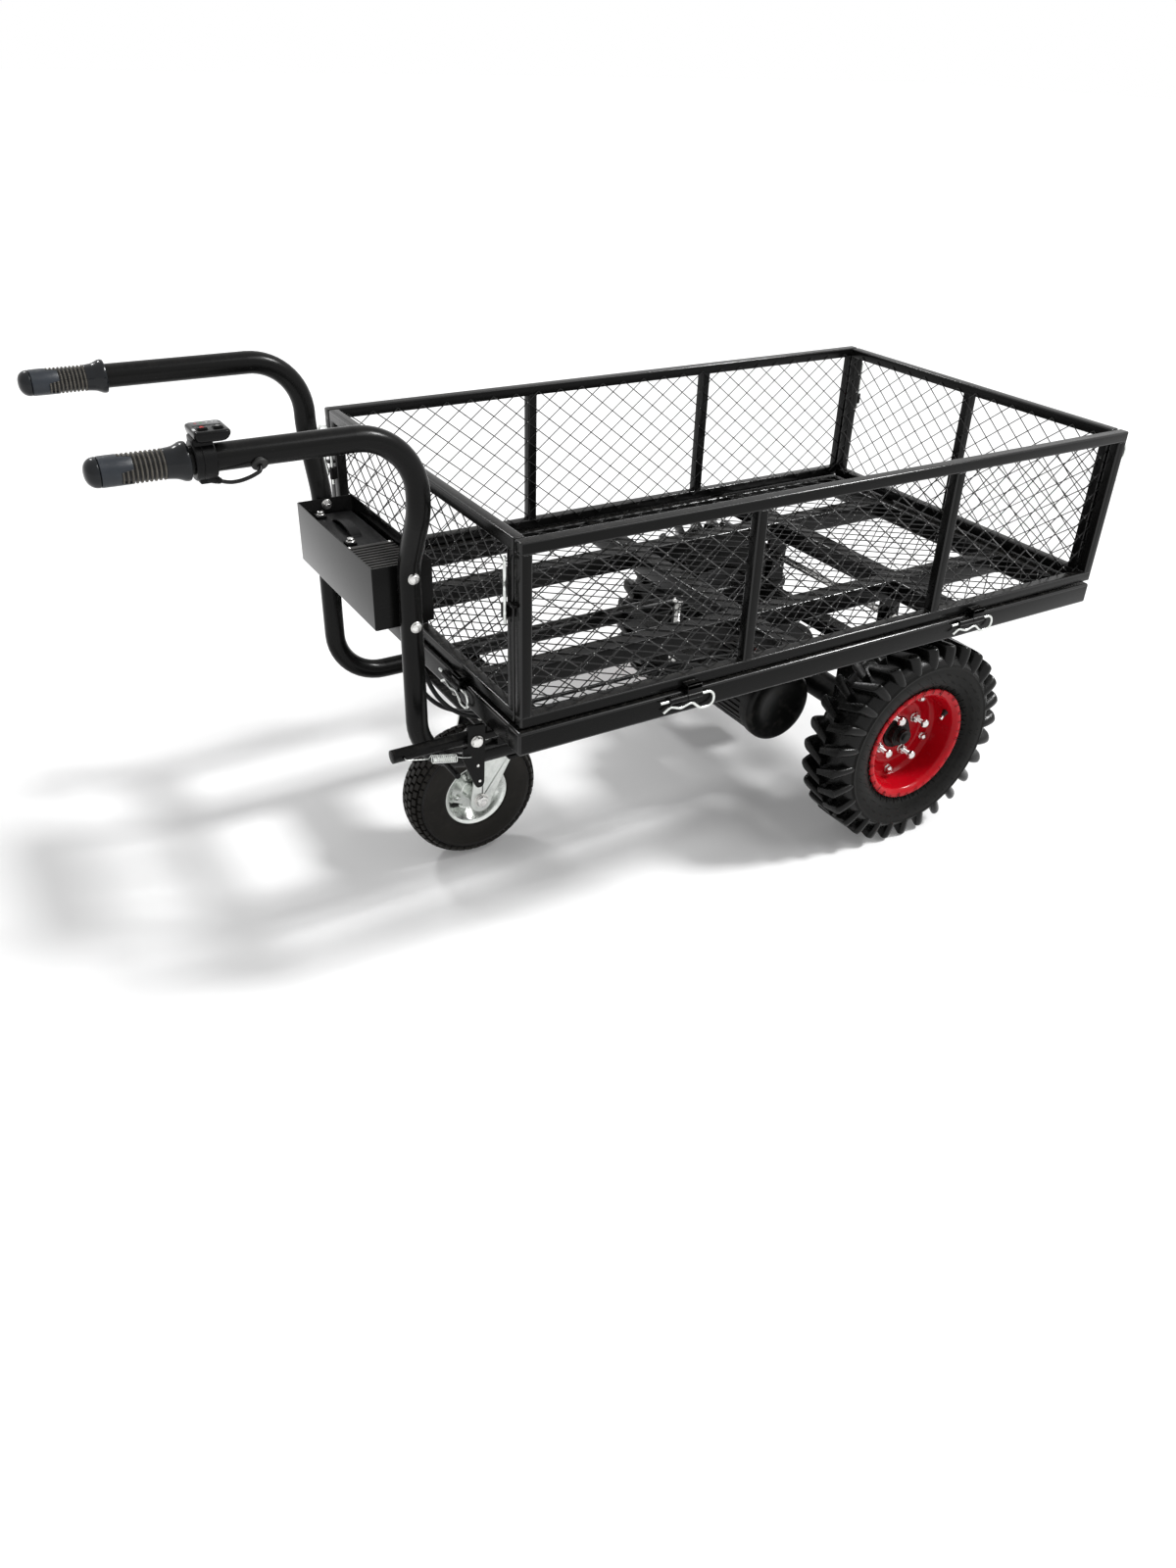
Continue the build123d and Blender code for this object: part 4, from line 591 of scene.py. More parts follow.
class Shape:
    """The faces of one piece, gathered in millimetres in the cart's own frame."""

    def __init__(self):
        self.points = []
        self.faces = []
        self.coats = []
        self.coat = 0

    def skin(self, rings, around=True, along=False, ends=True):
        """Faces between rings of one count, closed around and along, or with flat ends."""
        start = len(self.points)
        count = len(rings[0])
        self.points.extend(Vector(point) for ring in rings for point in ring)
        faces = []
        for i in range(len(rings) if along else len(rings) - 1):
            j = (i + 1) % len(rings)
            for k in range(count if around else count - 1):
                m = (k + 1) % count
                faces.append([i * count + k, i * count + m, j * count + m, j * count + k])
        if ends and not along:
            faces.append(list(range(count))[::-1])
            faces.append([(len(rings) - 1) * count + k for k in range(count)])
        self.faces.extend([start + index for index in face] for face in faces)
        self.coats.extend([self.coat] * len(faces))

    def spin(self, outline, place, steps, loop=True):
        """An outline of (along, radius) pairs turned about a place's axis."""
        turns = [2 * pi * k / steps for k in range(steps)]
        rings = [[polar(place, radius, turn, along) for along, radius in outline] for turn in turns]
        self.skin(rings, around=loop, along=True, ends=False)

    def block(self, low, high, edge, place=Matrix.Identity(4)):
        """Block with all its edges rounded."""
        steps = 3
        levels = [(edge * (1 - sin(turn)), edge * (1 - cos(turn))) for turn in arc(steps)]
        heights = [(low[2] + inset, pull) for pull, inset in levels]
        heights += [(high[2] - inset, pull) for pull, inset in reversed(levels)]
        rings = []
        for height, pull in heights:
            ring = []
            bend = max(edge - pull, 0.12 * edge)
            for corner in range(4):
                x = high[0] - pull - bend if corner in (0, 3) else low[0] + pull + bend
                y = high[1] - pull - bend if corner in (0, 1) else low[1] + pull + bend
                spot = place @ at(x, y, 0)
                ring += [polar(spot, bend, pi / 2 * corner + turn, height) for turn in arc(steps)]
            rings.append(ring)
        self.skin(rings)

    def square_tube(self, low, high, edge, place=Matrix.Identity(4)):
        """Square tube with a second finish on its rounded corners."""
        start = len(self.faces)
        self.block(low, high, edge, place)
        for index in range(start, len(self.faces)):
            a, b, c = (self.points[k] for k in self.faces[index][:3])
            way = (b - a).cross(c - a).normalized()
            if max(abs(part) for part in way) < 0.97:
                self.coats[index] = 1

    def slab(self, outline, low, high, place, edge=0.8):
        """Plate cut to an outline in a place's XY plane, with its rims eased."""
        flat = [Vector(point) for point in outline]
        heart = sum(flat, Vector((0, 0))) / len(flat)
        rings = []
        for height, pull in ((low, edge), (low + edge, 0.0), (high - edge, 0.0), (high, edge)):
            ring = []
            for point in flat:
                out = point - heart
                eased = heart + out * (1 - pull / max(out.length, edge))
                ring.append(place @ Vector((eased.x, eased.y, height)))
            rings.append(ring)
        self.skin(rings)

    def wire(self, line, radius, sides):
        """Round wire along a line of points."""
        line = [Vector(point) for point in line]
        last = len(line) - 1
        turns = [2 * pi * k / sides for k in range(sides)]
        side = (line[1] - line[0]).normalized().orthogonal().normalized()
        rings = []
        for index, point in enumerate(line):
            way = (line[min(index + 1, last)] - line[max(index - 1, 0)]).normalized()
            side = (side - way * side.dot(way)).normalized()
            up = way.cross(side)
            rings.append([point + (side * cos(turn) + up * sin(turn)) * radius for turn in turns])
        self.skin(rings)

    def bead(self, start, end, radius):
        """Weld bead: a lumpy run of overlapping puddles."""
        start, end = Vector(start), Vector(end)
        steps = max(6, round((end - start).length / 1.3))
        way = (end - start).normalized()
        side = way.orthogonal().normalized()
        up = way.cross(side)
        turns = [pi / 3 * k for k in range(6)]
        rings = []
        for i in range(steps + 1):
            lump = radius * (0.78 + 0.22 * cos(i * 2.1) + 0.07 * sin(i * 5.3))
            lump *= 0.45 if i in (0, steps) else 1.0
            point = start.lerp(end, i / steps)
            rings.append([point + (side * cos(turn) + up * sin(turn)) * lump for turn in turns])
        self.skin(rings)

    def hexagon(self, place, across, tall, dome=0.0):
        """Hexagon nut or bolt head with chamfered corners, standing on a place."""
        flat = across / 2
        corner = flat / cos(pi / 6)
        chamfer = 0.09 * across
        top = 0.95 * flat
        levels = [(0, flat), (chamfer * 0.6, corner), (tall - chamfer, corner), (tall, top)]
        levels += [(tall + dome * (1 - share ** 2), top * share) for share in (0.8, 0.55, 0.3, 0.05)]
        rings = []
        for height, limit in levels:
            ring = []
            for turn in (pi / 12 * k for k in range(24)):
                reach = min(limit, flat / cos((turn + pi / 6) % (pi / 3) - pi / 6))
                ring.append(polar(place, reach, turn, height))
            rings.append(ring)
        self.skin(rings)

    def washer(self, place, inner, outer, thick):
        """Flat washer standing on a place."""
        edge = min(0.4, thick / 3)
        outline = [(0, inner), (0, outer - edge), (edge, outer), (thick - edge, outer), (thick, outer - edge)]
        self.spin([*outline, (thick, inner)], place, 32)

    def dome_head(self, place, radius, tall):
        """Smooth domed bolt head standing on a place."""
        outline = [(0, radius * 0.96), (0.12 * tall, radius), (0.35 * tall, radius * 0.97)]
        for turn in arc(6, 1):
            outline.append((tall * (0.35 + 0.65 * sin(turn)), radius * 0.97 * cos(turn)))
        self.spin(outline, place, 28, loop=False)

    def thread(self, place, radius, length, pitch):
        """Threaded stud, cut in rings."""
        outline = [(0, 0), (0, radius * 0.8)]
        for k in range(int(length / pitch)):
            groove = (0.28, radius), (0.5, radius), (0.95, radius * 0.86)
            outline += [(pitch * (k + share), reach) for share, reach in groove]
        outline += [(length, radius * 0.8), (length, 0)]
        self.spin(outline, place, 18, loop=False)


def piece(name, shape, body, coats, stands_for, crease=36, merge=True):
    """Makes a piece of a shape, gives it its finishes and lets it ride on a body."""
    mesh = bpy.data.meshes.new(name)
    mesh.from_pydata([point * MM for point in shape.points], [], shape.faces)
    for coat in coats:
        mesh.materials.append(finish(coat))
    mesh.polygons.foreach_set("material_index", shape.coats)
    surface = bmesh.new()
    surface.from_mesh(mesh)
    if merge:
        bmesh.ops.remove_doubles(surface, verts=surface.verts, dist=0.000002)
    bmesh.ops.recalc_face_normals(surface, faces=surface.faces)
    surface.to_mesh(mesh)
    surface.free()
    mesh.shade_smooth()
    mesh.set_sharp_from_angle(angle=radians(crease))
    made = bpy.data.objects.new(name, mesh)
    bpy.context.scene.collection.objects.link(made)
    if body:
        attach(made, body)
    if stands_for:
        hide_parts(*stands_for)
    return made


def lamp(name, towards, strength, width):
    """A broad far lamp that shines from a direction."""
    light = bpy.data.lights.new(name, "SUN")
    light.energy = strength
    light.angle = radians(width)
    stand = bpy.data.objects.new(name, light)
    stand.rotation_euler = Vector(towards).to_track_quat("Z", "Y").to_euler()
    bpy.context.scene.collection.objects.link(stand)


def camera(look):
    """The camera at the photo's viewing angle."""
    eye = bpy.data.cameras.new("view")
    eye.lens = look.lens
    eye.sensor_width = 36.0
    eye.shift_x = -0.0017
    eye.shift_y = 0.0005
    stand = bpy.data.objects.new("view", eye)
    stand.location = look.camera_place
    stand.rotation_euler = look.camera_turn
    bpy.context.scene.collection.objects.link(stand)
    bpy.context.scene.camera = stand


def white_mix(graph, lit, white, share, output):
    """Ends a tree in its lit shader, with a share of plain white for the rays that the camera follows."""
    path = graph.node("ShaderNodeLightPath")
    outputs = path.socket.node.outputs
    seen = path + Signal(graph, outputs["Is Glossy Ray"]) + Signal(graph, outputs["Is Transmission Ray"])
    plain = graph.node(white, None, {"Color": (1, 1, 1, 1), "Strength": 1.0})
    mixed = graph.node("ShaderNodeMixShader", None, {0: seen * share, 1: lit, 2: plain})
    graph.node(output, None, {"Surface": mixed})


def surround(look):
    """Soft fill from all round that looks white."""
    world = bpy.data.worlds.new("studio")
    bpy.context.scene.world = world
    world.use_nodes = True
    graph = Graph(world.node_tree)
    fill = graph.node("ShaderNodeBackground", None, {"Color": (1, 1, 1, 1), "Strength": look.fill})
    white_mix(graph, fill, "ShaderNodeBackground", 1.0, "ShaderNodeOutputWorld")


def floor(look):
    """Pale floor that keeps the cart's shadow."""
    reach = 40.0
    mesh = bpy.data.meshes.new("floor")
    mesh.from_pydata([(x * reach, y * reach, 0) for x, y in SQUARE], [], [(0, 1, 2, 3)])
    ground = bpy.data.objects.new("floor", mesh)
    ground.location.z = -0.0006
    bpy.context.scene.collection.objects.link(ground)
    material = bpy.data.materials.new("studio_floor")
    material.use_nodes = True
    graph = Graph(material.node_tree)
    matt = graph.node("ShaderNodeBsdfDiffuse", None, {"Color": solid(look.floor)})
    white_mix(graph, matt, "ShaderNodeEmission", look.floor_lift, "ShaderNodeOutputMaterial")
    mesh.materials.append(material)


class CART_OT_stage(bpy.types.Operator):
    """Floor, studio light and the camera"""

    bl_idname = "cart.stage"
    bl_label = "Stage and camera"

    def execute(self, context):
        look = context.scene.cart_stage
        context.scene.view_settings.view_transform = "Standard"
        camera(look)
        lamp("key_lamp", (0.45, -0.50, 0.74), look.key, 22.0)
        lamp("spark_lamp", (0.64, -0.28, 0.72), look.spark, 10.0)
        lamp("rim_lamp", (-0.12, 0.72, 0.68), look.rim, 8.0)
        surround(look)
        floor(look)
        return {"FINISHED"}


def cable(name, points, thickness, node):
    """A cable as one smooth line through its route's control points."""
    curve = bpy.data.curves.new(name, "CURVE")
    curve.dimensions = "3D"
    curve.bevel_depth = thickness / 2
    curve.bevel_resolution = 5
    curve.use_fill_caps = True
    line = curve.splines.new("NURBS")
    line.points.add(len(points) - 1)
    for spot, point in zip(line.points, points):
        spot.co = (point[0] * MM, point[1] * MM, point[2] * MM, 1.0)
    line.order_u = 3
    line.use_endpoint_u = True
    line.resolution_u = 14
    curve.materials.append(finish("plastic_sheath"))
    made = bpy.data.objects.new(name, curve)
    bpy.context.scene.collection.objects.link(made)
    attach(made, "chassis")
    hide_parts(node)
    [value * MM for value in points[0]]


class CART_OT_cables(bpy.types.Operator):
    """Two power cables from the box to the motor, and the short lead of the control head"""

    bl_idname = "cart.cables"
    bl_label = "Cables"

    def execute(self, context):
        sizes = context.scene.cart_sizes
        for number, (x, y, shift) in enumerate(((X0 - 52, -128, 0), (X0 - 66, -112, 13))):
            points = [
                (x, y, 596),
                (x + 2, y, 539),
                (x + 10, y - 6, 484),
                (x + 30, y - 14 + shift, 429),
                (x + 68, y - 18 + shift, 388),
                (x + 128, y - 20 + shift, 368),
                (x + 240, y - 18 + shift, 360),
                (x + 420, y - 14 + shift, 357),
                (x + 600, y - 4 + shift, 354),
                (x + 690, y + 12 + shift, 336),
                (MOTOR.x - 6, y + 26 + shift, MOTOR.z + 88),
            ]
            cable(f"power_cable_{number + 1}", points, sizes.cable_thickness, "power_cables")
        points = [
            LEAD_MOUTH,
            LEAD_AHEAD,
            (CLAMP_START + 52, -254, 877),
            (CLAMP_START + 64, -260, 882),
            (GROMMET_X - 9, -262, 886),
            (GROMMET_X - 1, -261.2, 889.6),
            (GROMMET_X, -256, 893.5),
        ]
        cable("control_lead_line", points, sizes.lead_thickness, "control_lead")
        return {"FINISHED"}


class Panel(NamedTuple):
    """What a panel rides on, how long it is, and where it and its hinges stand, X along it, +Y inwards."""

    body: str
    length: float
    place: Matrix
    hinges: list


def side_panel(name, side, turn):
    """A long panel, at the outer face of its bottom tube."""
    place = standing((HANDLE_END_FACE + TAIL_FACE) / 2, side * (HALF - PANEL_INSET), PANEL_BASE, turn)
    hinges = [standing(x, side * (HALF + HINGE_OUT), HINGE_Z, turn) for x in SIDE_HINGES]
    return Panel(name, SIDE_LENGTH, place, hinges)


def end_panel(body, face, hinge, turn):
    """A short panel, at the outer face of its bottom tube."""
    hinges = [standing(hinge, y, HINGE_Z, turn) for y in END_HINGES]
    return Panel(body, END_LENGTH, standing(face, 0, PANEL_BASE, turn), hinges)


PANELS = {
    "side_panel_right": side_panel("side_panel_right", -1, 0),
    "side_panel_left": side_panel("side_panel_left", 1, 180),
    "tail_panel": end_panel("tail_panel", TAIL_FACE, X1 + HINGE_OUT, 90),
    "handle_end_panel": end_panel("bed", HANDLE_END_FACE, X0 - HINGE_OUT, -90),
}


def weave(name, body, node, place, length, height, sizes):
    """Net of crossing wires in a place's XY plane, centred on it, rubbed to bare metal on top of the
    crossings: bright spots that are painted glints.
    """
    shape = Shape()
    columns = round(length * MM / sizes.net_diamond[0])
    rows = round(height * MM / sizes.net_diamond[1])
    step_x = length / columns
    step_y = height / rows
    radius = sizes.net_wire / MM
    lift = sizes.net_weave / MM
    slope = Vector((step_x, -step_y, 0)).normalized()
    turns = [pi / 3 * k for k in range(6)]
    up = Vector((0, 0, 1))
    for family in (1, -1):
        side = up.cross(Vector((slope.x, family * slope.y, 0)))
        section = [(side * cos(turn) + up * sin(turn)) * radius for turn in turns]
        for k in range(columns + rows) if family > 0 else range(-rows, columns):
            start = max(0.0, k + 0.5 - rows) if family > 0 else max(0.0, k + 0.5)
            end = min(columns, k + 0.5) if family > 0 else min(columns, k + 0.5 + rows)
            spots = [(start, 0.0)]
            for crossing in range(2 * columns + 1):
                over = family * (1 if crossing % 2 else -1) * lift
                for reach, level in ((-0.030, 0.0), (-0.010, over), (0.010, over), (0.030, 0.0)):
                    if start + 0.01 < 0.5 * crossing + reach < end - 0.01:
                        spots.append((0.5 * crossing + reach, level))
            spots.append((end, 0.0))
            rings = []
            for u, level in spots:
                v = (k + 0.5 - u) if family > 0 else (u - k - 0.5)
                point = Vector((u * step_x - length / 2, v * step_y - height / 2, level))
                rings.append([place @ (point + offset) for offset in section])
            first = len(shape.faces)
            shape.skin(rings)
            for index in range(len(spots) - 1):
                level = spots[index][1]
                # Crossing crests in bright bare metal, as painted glints, on most crossings
                rubbed = (round(spots[index][0] * 6) + 5 * k) % 7 < 5
                if level and level == spots[index + 1][1] and rubbed:
                    outer = first + len(turns) * index + (0 if level > 0 else 3)
                    shape.coats[outer:outer + 3] = [1] * 3
    piece(name, shape, body, ["coat_net", "net_rub"], [node], merge=False)


class CART_OT_nets(bpy.types.Operator):
    """Woven diamond nets of the floor and the four panels"""

    bl_idname = "cart.nets"
    bl_label = "Nets"

    def execute(self, context):
        sizes = context.scene.cart_sizes
        gap = 1.25
        edge = 24
        for name, panel in PANELS.items():
            flat = at(0, PANEL_TUBE + gap, PANEL_TALL / 2) @ Matrix.Rotation(pi / 2, 4, "X")
            span = (panel.length - edge, PANEL_TALL - edge)
            weave(f"{name}_net", panel.body, f"{name}_mesh", panel.place @ flat, *span, sizes)
        flat = at((X0 + X1) / 2, 0, BED_TOP + 1.5)
        span = (X1 - X0 - 2 * (RAIL - 3), END_LENGTH - edge / 2)
        weave("floor_net", "bed", "floor_mesh", flat, *span, sizes)
        return {"FINISHED"}


def barrel(shape, start, end, place):
    """Rolled hinge barrel along a place's own axis."""
    outline = [(start, 2.8), (start, 5.4), (start + 0.6, 6), (end - 0.6, 6), (end, 5.4), (end, 2.8)]
    shape.spin(outline, place, 28)


def pivot_lug(shape, y):
    """Pivot lug under a joist, with thin washers on both sides."""
    z = RAIL_LOW - 45
    wide = 25
    outline = [(PIVOT_X - wide, RAIL_LOW + 3)]
    for turn in (pi * k / 16 for k in range(17)):
        outline.append((PIVOT_X - wide * cos(turn), z - wide * sin(turn)))
    outline.append((PIVOT_X + wide, RAIL_LOW + 3))
    shape.slab(outline, -5, 5, at(0, y, 0) @ Matrix.Rotation(pi / 2, 4, "X"))
    for side in SIDES:
        shape.washer(across_y((PIVOT_X, y + side * 5, z), side), 8.2, 14, 0.9)


def rail_ends(x, half, y, below):
    """Weld beads round the end of a rail: up both its sides and along its underside."""
    beads = [((x + side * half, y, RAIL_LOW + 2), (x + side * half, y, BED_TOP - 2)) for side in SIDES]
    return [*beads, ((x - half + below, y, RAIL_LOW), (x + half - below, y, RAIL_LOW))]


class CART_OT_bed(bpy.types.Operator):
    """Bed frame of rounded square tubes with its hinge knuckles, pivot lugs and weld beads"""

    bl_idname = "cart.bed"
    bl_label = "Bed frame"

    def execute(self, context):
        edge = context.scene.cart_sizes.rail_edge / MM
        bed = Shape()
        half = RAIL / 2
        lap = 6
        for side in SIDES:
            y0, y1 = sorted((side * HALF, side * RAIL_INNER))
            bed.square_tube((X0, y0, RAIL_LOW), (X1, y1, BED_TOP), edge)
            joist = side * JOIST_Y
            low = (X0 + RAIL - lap, joist - half, RAIL_LOW)
            bed.square_tube(low, (X1 - RAIL + lap, joist + half, BED_TOP), edge)
        for x in (X0, X1 - RAIL):
            bed.square_tube((x, -RAIL_INNER - lap, RAIL_LOW), (x + RAIL, RAIL_INNER + lap, BED_TOP), edge)
        beads = []
        spans = (-RAIL_INNER, -JOIST_Y - half), (half - JOIST_Y, JOIST_Y - half), (JOIST_Y + half, RAIL_INNER)
        for x in (MID_RAIL_X, PIVOT_X):
            for y0, y1 in spans:
                bed.square_tube((x - half, y0 - lap, RAIL_LOW), (x + half, y1 + lap, BED_TOP), edge)
                beads += [*rail_ends(x, half, y0, 2), *rail_ends(x, half, y1, 2)]
        for side in SIDES:
            joist = side * JOIST_Y
            for x in (X0 + RAIL, X1 - RAIL):
                for y in (joist - half, joist + half, side * RAIL_INNER):
                    beads.append(((x, y, RAIL_LOW + 2), (x, y, BED_TOP - 2)))
                beads.append(((x, joist - 18, RAIL_LOW), (x, joist + 18, RAIL_LOW)))
            pivot_lug(bed, joist)
            for y in (joist - 5, joist + 5):
                beads.append(((PIVOT_X - 24, y, RAIL_LOW), (PIVOT_X + 24, y, RAIL_LOW)))
            for x in (X0, X1):
                beads.append(((x, side * RAIL_INNER, RAIL_LOW + 3), (x, side * RAIL_INNER, BED_TOP - 3)))
        for panel in PANELS.values():
            for place in panel.hinges:
                barrel(bed, -40, -6, place @ across_x((0, 0, 0)))
                bed.block((-39, 1, -4.6), (-7, HINGE_OUT + 3, 4.6), 1.2, place)
                for z in (-4.8, 4.8):
                    ends = [place @ Vector((x, HINGE_OUT - 0.4, z)) for x in (-38, -8)]
                    beads.append(ends)
        for start, end in beads:
            bed.bead(start, end, 2.3)
        piece("bed_rails", bed, "bed", ["coat_black", "coat_edge"], ["bed_frame"])
        return {"FINISHED"}


def panel_tubes(shape, place, half, posts, edge):
    """Top and bottom tubes with posts between them, and their weld beads."""
    tube = PANEL_TUBE

    def bead(start, end, radius):
        shape.bead(place @ Vector(start), place @ Vector(end), radius)

    for z in (0, PANEL_TALL - tube):
        shape.square_tube((-half, 0, z), (half, tube, z + tube), edge, place)
    for x in (tube / 2 - half, *posts, half - tube / 2):
        low = (x - tube / 2, 0.02, tube - 4)
        high = (x + tube / 2, tube - 0.02, PANEL_TALL - tube + 4)
        shape.square_tube(low, high, edge, place)
        for z in (tube, PANEL_TALL - tube):
            for corner in (x - tube / 2, x + tube / 2):
                if abs(corner) < half - 1:
                    bead((corner, 1.5, z), (corner, tube - 1.5, z), 1.7)
            bead((x - 8, 0.4, z), (x + 8, 0.4, z), 0.9)


def hinge_strap(shape, place, tail):
    """Strap from the hinge barrel up to the panel's bottom tube, which the tail panel has right above."""
    start, end = -5.5, 24
    barrel(shape, start, end, place @ across_x((0, 0, 0)))
    if tail:
        shape.block((start, -2.5, 0), (end, 5.5, 11.5), 1.2, place)
        y, z = 5.4, 9.8
    else:
        inset = HINGE_OUT + PANEL_INSET
        shape.block((start, -2.5, 0), (end, 5.5, 20), 1.4, place)
        shape.block((start, -2.5, 12), (end, inset + 2, 20), 1.4, place)
        y, z = inset - 0.4, 20
    shape.bead(place @ Vector((start + 1, y, z)), place @ Vector((end - 1, y, z)), 1.6)


def corner_knuckles(shape, face, outward):
    """Upright barrels that hold an end panel's corner clips."""
    x = face + outward * HINGE_OUT
    low, high = CORNER_CLIPS
    for y in (-CORNER_Y, CORNER_Y):
        barrel(shape, low, high, at(x, y, 0))
        x0, x1 = sorted((x, x - outward * (HINGE_OUT + 2)))
        shape.block((x0, y - 5, low + 0.5), (x1, y + 5, high - 0.5), 1.2)


def corner_fingers(shape, side):
    """Short fingers of a side panel beside the corner clips."""
    reach = HINGE_OUT + 3
    low = CORNER_CLIPS[1] + 3
    y0, y1 = sorted((side * 364, side * 380))
    for x0, x1 in ((HANDLE_END_FACE - reach, HANDLE_END_FACE + 2), (TAIL_FACE - 2, TAIL_FACE + reach)):
        shape.block((x0, y0, low), (x1, y1, low + 4), 0.9)


class CART_OT_panels(bpy.types.Operator):
    """Four panel frames of rounded tube with hinge straps, corner knuckles and weld beads"""

    bl_idname = "cart.panels"
    bl_label = "Panel frames"

    def execute(self, context):
        edge = context.scene.cart_sizes.panel_edge / MM
        for name, panel in PANELS.items():
            shape = Shape()
            half = panel.length / 2
            long = name.startswith("side")
            panel_tubes(shape, panel.place, half, (-half / 3, half / 3) if long else (0,), edge)
            for hinge in panel.hinges:
                hinge_strap(shape, hinge, name == "tail_panel")
            if long:
                corner_fingers(shape, -1 if name == "side_panel_right" else 1)
            elif name == "tail_panel":
                corner_knuckles(shape, TAIL_FACE, 1)
            else:
                corner_knuckles(shape, HANDLE_END_FACE, -1)
            coats = ["coat_black", "coat_edge"]
            piece(f"{name}_tubes", shape, panel.body, coats, [f"{name}_frame"])
        return {"FINISHED"}


class CART_OT_clips(bpy.types.Operator):
    """Hairpin clips in zinc wire"""

    bl_idname = "cart.clips"
    bl_label = "Hairpin clips"

    def execute(self, context):
        dress("zinc_wire", "bed_clips", "tail_corner_clips")
        return {"FINISHED"}


def grip_cap(shape, place):
    """Shiny domed cap, set off from the sleeve by a groove."""
    outline = [(0, 0)]
    for turn in arc(12, 1):
        outline.append((15.0 - 15.0 * cos(turn), 18.9 * sin(turn) ** 0.84))
    outline += [(16.2, 19.1), (17.0, 18.6), (17.3, 17.6), (17.3, 16.0)]
    shape.spin(outline, place, 72, loop=False)


def tongue(turn):
    """How far a tongue of the smooth sleeve runs into the knurled part at an angle."""
    scallop = cos(3 * (turn - radians(143)))
    return 41.5 + 15.5 * min(1.0, max(0.0, 0.5 + 2.4 * scallop))


def grip_sleeve(shape, place):
    """Smooth sleeve with three tongues, and the flared collar at the other end."""
    start = 17.8
    around = 180
    turns = [2 * pi * k / around for k in range(around)]
    profile = (0.0, 16.0), (0.0, 18.4), (0.02, 19.2), (0.5, 19.4), (0.97, 19.3), (1.0, 18.9), (1.0, 16.4)
    rings = []
    for share, reach in profile:
        rings.append([polar(place, reach, turn, start + (tongue(turn) - start) * share) for turn in turns])
    shape.skin(rings, ends=False)
    flare = [
        (96.5, 16.4), (96.5, 18.4), (97.2, 19.1), (103, 19.7), (109, 20.6), (114, 22.4), (118, 24.2),
        (121.5, 25), (124.5, 24.7), (126, 23.2), (126, 15.6),
    ]
    shape.coat = 0
    shape.spin(flowing(flare, 4), place, 96, loop=False)


def knurl(shape, place, rings):
    """Core in darker rubber, painted shade between the dots, with rings of small square dots."""
    shape.coat = 3
    shape.spin([(36, 17.3), (97, 17.3)], place, 72, loop=False)
    shape.coat = 2
    dots = 46
    start, length = 40.6, 57.0
    pitch = length / rings
    for ring in range(rings):
        spot = start + pitch * (ring + 0.5)
        for k in range(dots):
            turn = 2 * pi * (k + 0.5 * (ring % 2)) / dots
            if spot - 1.5 < tongue(turn):
                continue
            levels = []
            for reach, half in ((16.9, 1.0), (18.9, 0.94), (19.35, 0.62)):
                wide = half * 0.86 / 19
                tall = half * 1.2
                levels.append([polar(place, reach, turn + x * wide, spot + y * tall) for x, y in SQUARE])
            shape.skin(levels)


class CART_OT_grips(bpy.types.Operator):
    """Rubber grips with a domed cap, tongues, knurled rings and a flared collar"""

    bl_idname = "cart.grips"
    bl_label = "Grips"

    def execute(self, context):
        rings = context.scene.cart_sizes.knurl_rings
        for name, y, body, node in (
            ("left_grip", GRIP_Y, "chassis", "grip_left"),
            ("twist_grip", -GRIP_Y, "throttle", "throttle_grip"),
        ):
            shape = Shape()
            place = across_x((GRIP_START, y, GRIP_Z))
            grip_cap(shape, place)
            shape.coat = 1
            grip_sleeve(shape, place)
            knurl(shape, place, rings)
            # The fourth finish is the darker rubber that paints shade on the knurl's core
            coats = ["rubber_cap", "rubber_grip", "rubber_knurl", "rubber_tread"]
            piece(name, shape, body, coats, [node], crease=44)
        return {"FINISHED"}


def button_ring(x, wide, deep, bend, height):
    """Level ring round a push button's middle."""
    return level_ring((x - wide, BUTTON_Y - deep), (x + wide, BUTTON_Y + deep), bend, 4, height)


def control_head():
    """Display head: a boxy case with rounded top corners, a dark lamp window and two button frames."""
    low, high = corners("control_head")
    top = HEAD_TOP
    shape = Shape()
    levels = (
        (0, 4.2), (0.8, 3.0), (3, 1.6), (6.5, 0.5), (9, 0.1), (10.4, 0.0), (12, 0.35), (13, 1.1), (13.7, 2.3),
        (14, 4.0),
    )
    rings = []
    for height, pull in levels:
        near = (low.x + pull * 0.7, low.y + pull)
        far = (high.x - pull * (1.8 if height < 9 else 1.0), high.y - pull)
        rings.append(level_ring(near, far, 7.5, 6, low.z + height))
    shape.skin(rings)
    shape.coat = 1
    x0, x1 = CLAMP_START + 7, CLAMP_START + 42
    y0, y1 = 2 - GRIP_Y, 16 - GRIP_Y
    shape.block((x0, y0, top - 0.8), (x1, y1, top + 0.5), 0.5)
    shape.coat = 0
    for x in BUTTONS.values():
        outer = [button_ring(x, 7.7, 5.7, 2.4, top + height) for height in (-0.6, 0.3)]
        inner = [button_ring(x, 6.853, 4.845, 1.8, top + height) for height in (0.6, -0.6)]
        shape.skin(outer + inner, along=True, ends=False)
    shape.coat = 4
    lamp_x = CLAMP_START + 2.8
    shape.block((lamp_x, BUTTON_Y - 4.6, top - 0.6), (lamp_x + 3.6, BUTTON_Y + 3.4, top + 0.5), 0.4)
    for number, coat in enumerate((2, 3, 4, 4)):
        x = x0 + 6 + 7.2 * number
        shape.coat = coat
        shape.block((x - 1.7, y1 - 4.4, top), (x + 1.7, y1 - 2.6, top + 0.9), 0.4)
    coats = ["plastic_head", "lens_dark", "lens_red", "lens_green", "lens_clear"]
    piece("control_head_case", shape, "chassis", coats, ["control_head"], crease=42)


